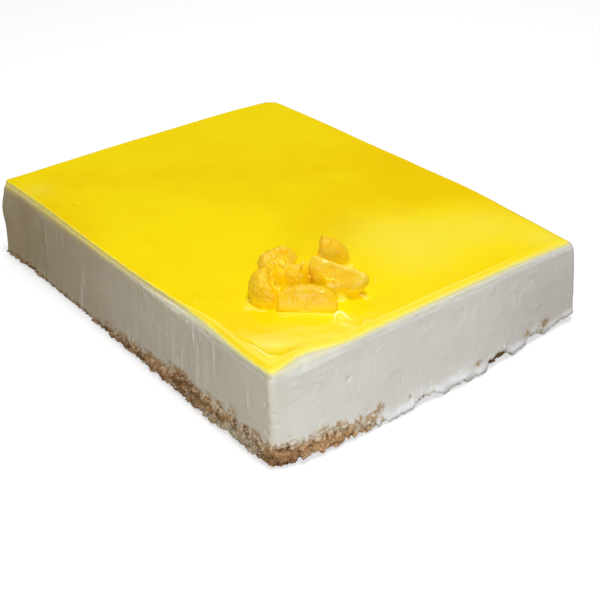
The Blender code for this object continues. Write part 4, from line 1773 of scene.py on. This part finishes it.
    def grid(self) -> tuple[Floats, Floats]:
        """Lay the grid over the slab's nominal top, its corners rounded.

        Returns:
            The nominal places u and v, each of shape (rows, columns).
        """
        half_x, half_y = self.form.half
        u, v = np.meshgrid(*(self.lines(half, end) for half, end in zip(self.form.half, self.fine_ends)))
        for (sign_x, sign_y), radius in zip(((-1, -1), (1, -1), (1, 1), (-1, 1)), self.form.corner_radii):
            a = np.clip((u * sign_x - (half_x - radius)) / radius, 0, 1)
            b = np.clip((v * sign_y - (half_y - radius)) / radius, 0, 1)
            inside = (a > 0) & (b > 0)
            u = np.where(inside, sign_x * (half_x - radius + radius * a * np.sqrt(1 - b * b / 2)), u)
            v = np.where(inside, sign_y * (half_y - radius + radius * b * np.sqrt(1 - a * a / 2)), v)
        return u, v

    def depth_inside(self, u: Floats, v: Floats) -> Floats:
        """Work out how far inside the cut outline each nominal place lies.

        Args:
            u: Nominal places across the short side.
            v: Nominal places along the long side.

        Returns:
            The depths.
        """
        near_left, near_right, far_right, far_left = self.form.corner_radii
        radius = np.where(u < 0, np.where(v < 0, near_left, far_left), np.where(v < 0, near_right, far_right))
        over_x = np.abs(u) - (self.form.half[0] - radius)
        over_y = np.abs(v) - (self.form.half[1] - radius)
        past_corner = np.hypot(np.maximum(over_x, 0), np.maximum(over_y, 0))
        outside = past_corner + np.minimum(np.maximum(over_x, over_y), 0)
        return np.maximum(radius - outside, 0.0)

    def lay(self, fruit: list[BVHTree]) -> JellyTop:
        """Lay the sheet's top, drawn in at its edges, and read what stands on it.

        Args:
            fruit: The fruit's surfaces.

        Returns:
            The top.
        """
        form = self.form
        u, v = self.grid()
        x, y, _ = np.moveaxis(form.cut(u, v, form.height), -1, 0)
        for side, distance, along, (in_x, in_y) in form.edges(u, v):
            drawn = smoothstep(self.inset_reach, 0.0, distance) * form.jelly_inset(side, along)
            x = x + in_x * drawn
            y = y + in_y * drawn
        front = smoothstep(*self.front_zone, y)
        front_width, left_width, far_width = self.edge_reach
        reach = left_width + (far_width - left_width) * smoothstep(*self.far_zone, x + y * 0.75)
        reach = reach + (front_width - reach) * front
        crest = sum(ridge.rise(x - form.centre[0], y - form.centre[1]) for ridge in self.ridges)
        glaze = PileGlaze(form)
        glaze.settle(fruit)
        level = glaze.read(glaze.level, x, y)
        pulp = smoothstep(*self.pool_depths, level) * glaze.read(glaze.inside, x, y)
        return JellyTop(
            u, v, x, y, self.depth_inside(u, v), reach, front, crest, self.wetting(x, y, fruit), level, pulp,
        )

    def wetting(self, x: Floats, y: Floats, fruit: list[BVHTree]) -> Floats:
        """Say how much the fruit wets each place.

        Args:
            x: Places across the slab.
            y: Places along it.
            fruit: The fruit's surfaces.

        Returns:
            The wetting, about 1 where the jelly meets the fruit.
        """
        wet = np.zeros(x.shape)
        zone = (x > self.wet_low[0]) & (x < self.wet_high[0]) & (y > self.wet_low[1]) & (y < self.wet_high[1])
        for place in zip(*np.nonzero(zone)):
            point = Vector((x[place], y[place], self.form.height + self.wet_level))
            found = [tree.find_nearest(point, self.wet_search)[3] for tree in fruit]
            wet[place] = sum(math.exp(-gap / self.fillet_reach) for gap in found if gap is not None)
        return np.minimum(wet, 1.2)

    def spots(self, rows: Spots, top: JellyTop) -> Floats:
        """Sum soft round spots over the top.

        Args:
            rows: For each spot its place and radius in millimetres, and its strength.
            top: The sheet's top.

        Returns:
            Their sum at each place.
        """
        total = np.zeros(top.x.shape)
        for x, y, radius, strength in rows:
            away = np.hypot(top.x - self.form.centre[0] - x * MM, top.y - self.form.centre[1] - y * MM)
            total = total + strength * bell(away, radius * MM)
        return total

    def surface(self, top: JellyTop) -> Floats:
        """Work out the height of the jelly's top surface.

        Args:
            top: The sheet's top.

        Returns:
            The heights.
        """
        form = self.form
        places = points_at(top.x, top.y, 0.0)
        edge = form.rim_height(form.inset_at(top.u, top.v))
        feathered, rounded = self.edge_powers
        power = rounded + (feathered - rounded) * top.front
        share = np.clip(1 - top.inside / top.reach, 0.0, 1.0)
        z = form.height - form.droop(top.x, top.y) - (form.height - edge + self.edge_dip) * share ** power
        calm = smoothstep(*self.calm_edge, top.inside)
        z = z + calm * self.wave_depth * (wander(places, self.wave_length, 2.0) - 0.4)
        z = z + calm * self.dimple_depth * wander(places, self.dimple_length, 3.0)
        z = z + top.crest + self.spots(self.hollows, top) * MM
        for depth, length in zip(self.pulp_depths, self.pulp_lengths):
            z = z + depth * top.pulp * (billow(places, length, 31.0) - 0.4)
        return z + self.fillet_height * top.wet + top.level

    def shell(self, top: JellyTop, z: Floats, loop: list[tuple[int, int]]) -> bmesh.types.BMesh:
        """Build the sheet's mesh: the top, and a thin side that turns in under it.

        Args:
            top: The sheet's top.
            z: Its heights.
            loop: The rows and columns round the top's edge.

        Returns:
            The closed mesh.
        """
        form = self.form
        model = bmesh.new()
        verts = [[model.verts.new(point) for point in row] for row in points_at(top.x, top.y, z).tolist()]
        for near, far in zip(verts, verts[1:]):
            MeshMaker.band(model, near, far)
        at = tuple(np.transpose(loop))
        x, y, rim = top.x[at], top.y[at], z[at]
        drop = rim - form.mousse_top + self.under_depth + form.droop(x, y)
        upper = [verts[row][column] for row, column in loop]
        for share, out in self.side_rings:
            out_x, out_y = out * top.u[at] / form.half[0], out * top.v[at] / form.half[1]
            places = points_at(x + out_x, y + out_y, rim - drop * share)
            lower = [model.verts.new(place) for place in places.tolist()]
            MeshMaker.band(model, [*lower, lower[0]], [*upper, upper[0]])
            upper = lower
        model.faces.new(upper[::-1])
        bmesh.ops.recalc_face_normals(model, faces=model.faces)
        return model

    def tints(self, top: JellyTop) -> dict[str, Floats]:
        """Work out the jelly's tints: pale rim, painted glow, amber by the fruit, pulp, painted highlights on
        the crests, painted sheen and gold.

        Args:
            top: The sheet's top.

        Returns:
            The share of each tint at each place, by the attribute's name.
        """
        places = points_at(top.x, top.y, 0.0)
        near_front = smoothstep(*self.thin_front, top.v + self.form.half[1])
        near_left = smoothstep(*self.thin_left, top.x) * smoothstep(*self.thin_left_along, top.y)
        thinned = self.front_thinning * np.maximum(near_front, 0.6 * top.front) + 0.7 * near_left
        ragged = top.inside + self.edge_wobble * wander(places, self.edge_wobble_length, 4.0)
        faint = 0.5 + 0.5 * np.maximum(near_front, smoothstep(*self.faint_along, top.y))
        faint = np.maximum(faint, 0.85 * near_left)
        # painted light: glow along the shaded left edge, near the fruit and at a few spots
        side = smoothstep(*self.lit_left, top.x) * smoothstep(top.reach, 0.0, top.inside)
        side = side * smoothstep(*self.lit_left_along, top.y)
        lit = self.wet_glow * np.minimum(top.wet, 1) ** 0.45 + self.spots(self.lit_spots, top)
        shares = {
            "rim": np.clip(1 - ragged / (self.thin_reach * (1 + thinned)), 0, 1) * faint,
            "edge": 1 - top.inside / top.reach,
            "glow": np.maximum(lit, side),
            "amber": 0.45 * top.wet + top.pulp * (0.65 + 0.7 * wander(places, self.amber_length, 33.0)),
            "pulp": top.pulp,
            "crest": top.crest / MM,
            "sheen": self.spots(self.sheen_spots, top),
        }
        shares = {name: np.clip(share, 0.0, 1.0) for name, share in shares.items()}
        return {**shares, "depth": self.spots(self.golden_spots, top)}

    def build(self, fruit: list[Piece]) -> Piece:
        """Build the jelly sheet and let it stand for its solid.

        Args:
            fruit: The fruit pieces that stand in it.

        Returns:
            The finished piece.
        """
        top = self.lay([search_tree(piece) for piece in fruit])
        z = self.surface(top)
        rows, columns = z.shape
        loop = (
            [(0, c) for c in range(columns)] + [(r, columns - 1) for r in range(1, rows)]
            + [(rows - 1, c) for c in range(columns - 2, -1, -1)] + [(r, 0) for r in range(rows - 2, 0, -1)]
        )
        piece = MeshMaker.finish("jelly_sheet", self.shell(top, z, loop), self.finish)
        at = tuple(np.transpose(loop))
        for name, share in self.tints(top).items():
            carried = np.concatenate([share.ravel()] + [share[at]] * len(self.side_rings))
            MeshMaker.store(piece.data, low=-1.0, **{name: carried})
        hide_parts("lemon_jelly")
        return piece


@dataclass
class JuiceSacs:
    """Loose juice sacs in the glaze between the segments."""

    sheet: Piece
    finish: MandarinFinish
    density: float = 28000.0
    slimmest: float = 0.8 * MM
    fattest: float = 1.3 * MM
    stretch: float = 2.0
    seed: int = 23

    def build(self) -> Piece:
        """Lay the sacs in the glaze by Geometry Nodes.

        Returns:
            The finished piece.
        """
        tree = GeometryTree(
            "juice_sacs", Density=self.density, Slimmest=self.slimmest, Fattest=self.fattest,
            Stretch=self.stretch, Seed=self.seed, Material=self.finish.material(),
        )
        width = tree.random(tree.start["Slimmest"], tree.start["Fattest"], 3)
        turn = tree.random((1.25, -0.3, 0.0), (1.9, 0.3, 6.28), 5)
        scale = tree.stretched(width, tree.start["Stretch"])
        sacs = tree.balls(tree.scatter("pulp"), 2, Rotation=turn, Scale=scale)
        sacs = tree.keep(sacs, "membrane", "INSTANCE", tree.random(0.0, 0.5, 6))
        sacs = tree.through("GeometryNodeRealizeInstances", sacs)
        sacs = tree.through("GeometryNodeSetShadeSmooth", sacs)
        return MeshMaker.finish("juice_sacs", tree.result(self.sheet, sacs), self.finish)


@dataclass
class JellyBubbles:
    """Tiny domes of trapped air and drops of syrup on the jelly, with a touch of painted sheen."""

    jelly: LemonJelly
    sheet: Piece
    places: tuple[Triple, ...] = (
        (-106.9, 134.5, 0.9), (-104.8, 126.2, 0.8), (-105.8, 101.7, 0.9), (-98.1, 93.1, 1.0),
        (-109.2, -70.8, 0.9), (-94.7, 9.8, 0.5), (-11.7, -118.5, 0.8), (-8.9, -120.8, 0.7),
        (31.2, -138.4, 0.9),
        (32.3, -132.8, 0.7),
        (-35.3, -151.2, 0.8), (-33.2, -153.0, 0.7), (-110.4, -147.9, 0.6), (-114.4, -153.3, 0.8),
    )
    stray_count: int = 26
    flatness: float = 0.55
    # painted sheen on the domes
    sheen: float = 0.35
    seed: int = 5

    def build(self) -> Piece:
        """Set the domes on the jelly by Geometry Nodes.

        Returns:
            The finished piece.
        """
        form, finish = self.jelly.form, self.jelly.finish
        draw = random.Random(self.seed)
        rows = [(x * MM + form.centre[0], y * MM + form.centre[1], size * MM) for x, y, size in self.places]
        for _ in range(self.stray_count):
            x, y = draw.uniform(-0.112, 0.112), draw.uniform(-0.15, 0.15)
            rows.append((x, y, draw.uniform(0.2, 0.45) * MM))
        surface = search_tree(self.sheet)
        spread = bpy.data.meshes.new("bubble_places")
        spread.from_pydata([surface.ray_cast(Vector((x, y, 0.1)), DOWN)[0] for x, y, _ in rows], [], [])
        MeshMaker.store(spread, radius=np.array([size for _, _, size in rows]))
        carrier = bpy.data.objects.new("bubble_places", spread)
        bpy.context.scene.collection.objects.link(carrier)
        tree = GeometryTree("jelly_bubbles", Flatness=self.flatness, Material=finish.material())
        scale = tree.stretched(tree.attribute("radius"), tree.start["Flatness"])
        domes = tree.balls(tree.start["Geometry"], 4, Scale=scale)
        domes = tree.through("GeometryNodeRealizeInstances", domes)
        domes = tree.through("GeometryNodeSetShadeSmooth", domes)
        mesh = tree.result(carrier, tree.keep(domes, "sheen", "POINT", self.sheen))
        bpy.data.objects.remove(carrier)
        return MeshMaker.finish("jelly_bubbles", mesh, finish)


@dataclass(frozen=True)
class Softbox:
    """One soft light: where it stands, its size, its power, its colour and what it points at."""

    name: str
    place: Triple
    size: Pair
    power: float
    colour: Triple = WHITE
    target: Triple = SLAB_MIDDLE

    def build(self) -> None:
        """Add the light to the scene."""
        lamp = bpy.data.lights.new(self.name, "AREA")
        lamp.shape = "RECTANGLE"
        lamp.size, lamp.size_y = self.size
        lamp.energy = self.power
        lamp.color = self.colour
        piece = bpy.data.objects.new(self.name, lamp)
        piece.location = self.place
        piece.rotation_mode = "QUATERNION"
        piece.rotation_quaternion = (Vector(self.target) - Vector(self.place)).to_track_quat("-Z", "Y")
        bpy.context.scene.collection.objects.link(piece)


@dataclass
class Studio:
    """The plain pale floor, the soft lights and the camera."""

    floor_half: float = 4.0
    floor_drop: float = 0.2 * MM
    floor_seen: Triple = (0.50, 0.50, 0.50)
    floor_glow: float = 0.58
    floor_bounce: Triple = (0.28, 0.19, 0.08)
    world_strength: float = 0.025
    camera_place: Triple = (-0.41085, -0.57495, 0.40411)
    camera_forward: Triple = (0.51514, 0.68935, -0.50934)
    camera_up: Triple = (0.32659, 0.39156, 0.86024)
    camera_lens: float = 69.66
    camera_sensor: float = 36.0
    camera_clip: Pair = (0.01, 30.0)
    lights: tuple[Softbox, ...] = (
        Softbox("overhead_softbox", (0.10, -0.27, 1.35), (1.1, 1.1), 4.25),
        Softbox("overhead_spot", (0.0, -0.26, 1.30), (0.28, 0.28), 7.3),
        Softbox("back_softbox", (0.35, 0.55, 1.25), (1.3, 1.3), 9.0),
        Softbox("near_softbox", (-0.56, -0.62, 0.30), (0.5, 0.5), 3.15, (0.975, 1.0, 0.95),
                target=(-0.10, -0.12, 0.03)),
        Softbox("front_softbox", (0.35, -1.35, 0.45), (1.2, 0.6), 3.3, (0.62, 0.75, 1.0)),
    )

    def build(self) -> None:
        """Build the floor, the lights, the world and the camera."""
        self.build_floor()
        for light in self.lights:
            light.build()
        world = bpy.data.worlds.new("studio_world")
        world.use_nodes = True
        background = world.node_tree.nodes["Background"]
        background.inputs["Color"].default_value = (*WHITE, 1.0)
        background.inputs["Strength"].default_value = self.world_strength
        scene = bpy.context.scene
        scene.world = world
        scene.view_settings.view_transform = "Standard"
        scene.view_settings.look = "None"
        self.build_camera()

    def build_floor(self) -> None:
        """Lay the floor: pale to the camera, and darker in the light that it throws back."""
        model = bmesh.new()
        bmesh.ops.create_grid(model, x_segments=1, y_segments=1, size=self.floor_half)
        mesh = bpy.data.meshes.new("studio_floor")
        model.to_mesh(mesh)
        model.free()
        floor = bpy.data.objects.new("studio_floor", mesh)
        floor.location.z = -self.floor_drop
        bpy.context.scene.collection.objects.link(floor)
        material = bpy.data.materials.new("studio_floor")
        material.use_nodes = True
        sheet = NodeSheet(material.node_tree)
        seen = sheet.add("ShaderNodeLightPath").outputs["Is Camera Ray"]
        sheet.feed(material.node_tree.nodes["Principled BSDF"], {
            "Base Color": sheet.blend(seen, self.floor_bounce, self.floor_seen),
            "Roughness": 0.9,
            "Specular IOR Level": 0.1,
            "Emission Color": (*WHITE, 1.0),
            "Emission Strength": sheet.math("MULTIPLY", seen, self.floor_glow),
        })
        mesh.materials.append(material)

    def build_camera(self) -> None:
        """Set the camera at the photograph's viewing angle."""
        lens = bpy.data.cameras.new("photo_camera")
        lens.lens = self.camera_lens
        lens.sensor_width = self.camera_sensor
        lens.clip_start, lens.clip_end = self.camera_clip
        camera = bpy.data.objects.new("photo_camera", lens)
        forward = Vector(self.camera_forward).normalized()
        right = forward.cross(Vector(self.camera_up)).normalized()
        turn = Matrix((right, right.cross(forward), -forward)).transposed().to_4x4()
        camera.matrix_world = Matrix.Translation(self.camera_place) @ turn
        bpy.context.scene.collection.objects.link(camera)
        bpy.context.scene.camera = camera


def main() -> None:
    """Build the slab's pieces in order, then the studio."""
    logging.basicConfig(level=logging.INFO, format="%(name)s: %(message)s")
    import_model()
    form = SlabForm()
    mousse = LemonMousse(form)
    pieces = [mousse.build()]
    pieces += CrumbBase(form, mousse).build()
    fruit_finish = MandarinFinish()
    fruit = [segment.build(form, fruit_finish) for segment in MANDARIN_PILE]
    pieces += fruit
    jelly = LemonJelly(form)
    sheet = jelly.build(fruit)
    pieces.append(sheet)
    pieces.append(JuiceSacs(sheet, fruit_finish).build())
    pieces.append(JellyBubbles(jelly, sheet).build())
    for piece in pieces:
        triangles = sum(len(face.vertices) - 2 for face in piece.data.polygons)
        LOG.info("%s: %d triangles", piece.name, triangles)
    Studio().build()


if __name__ == "__main__":
    main()
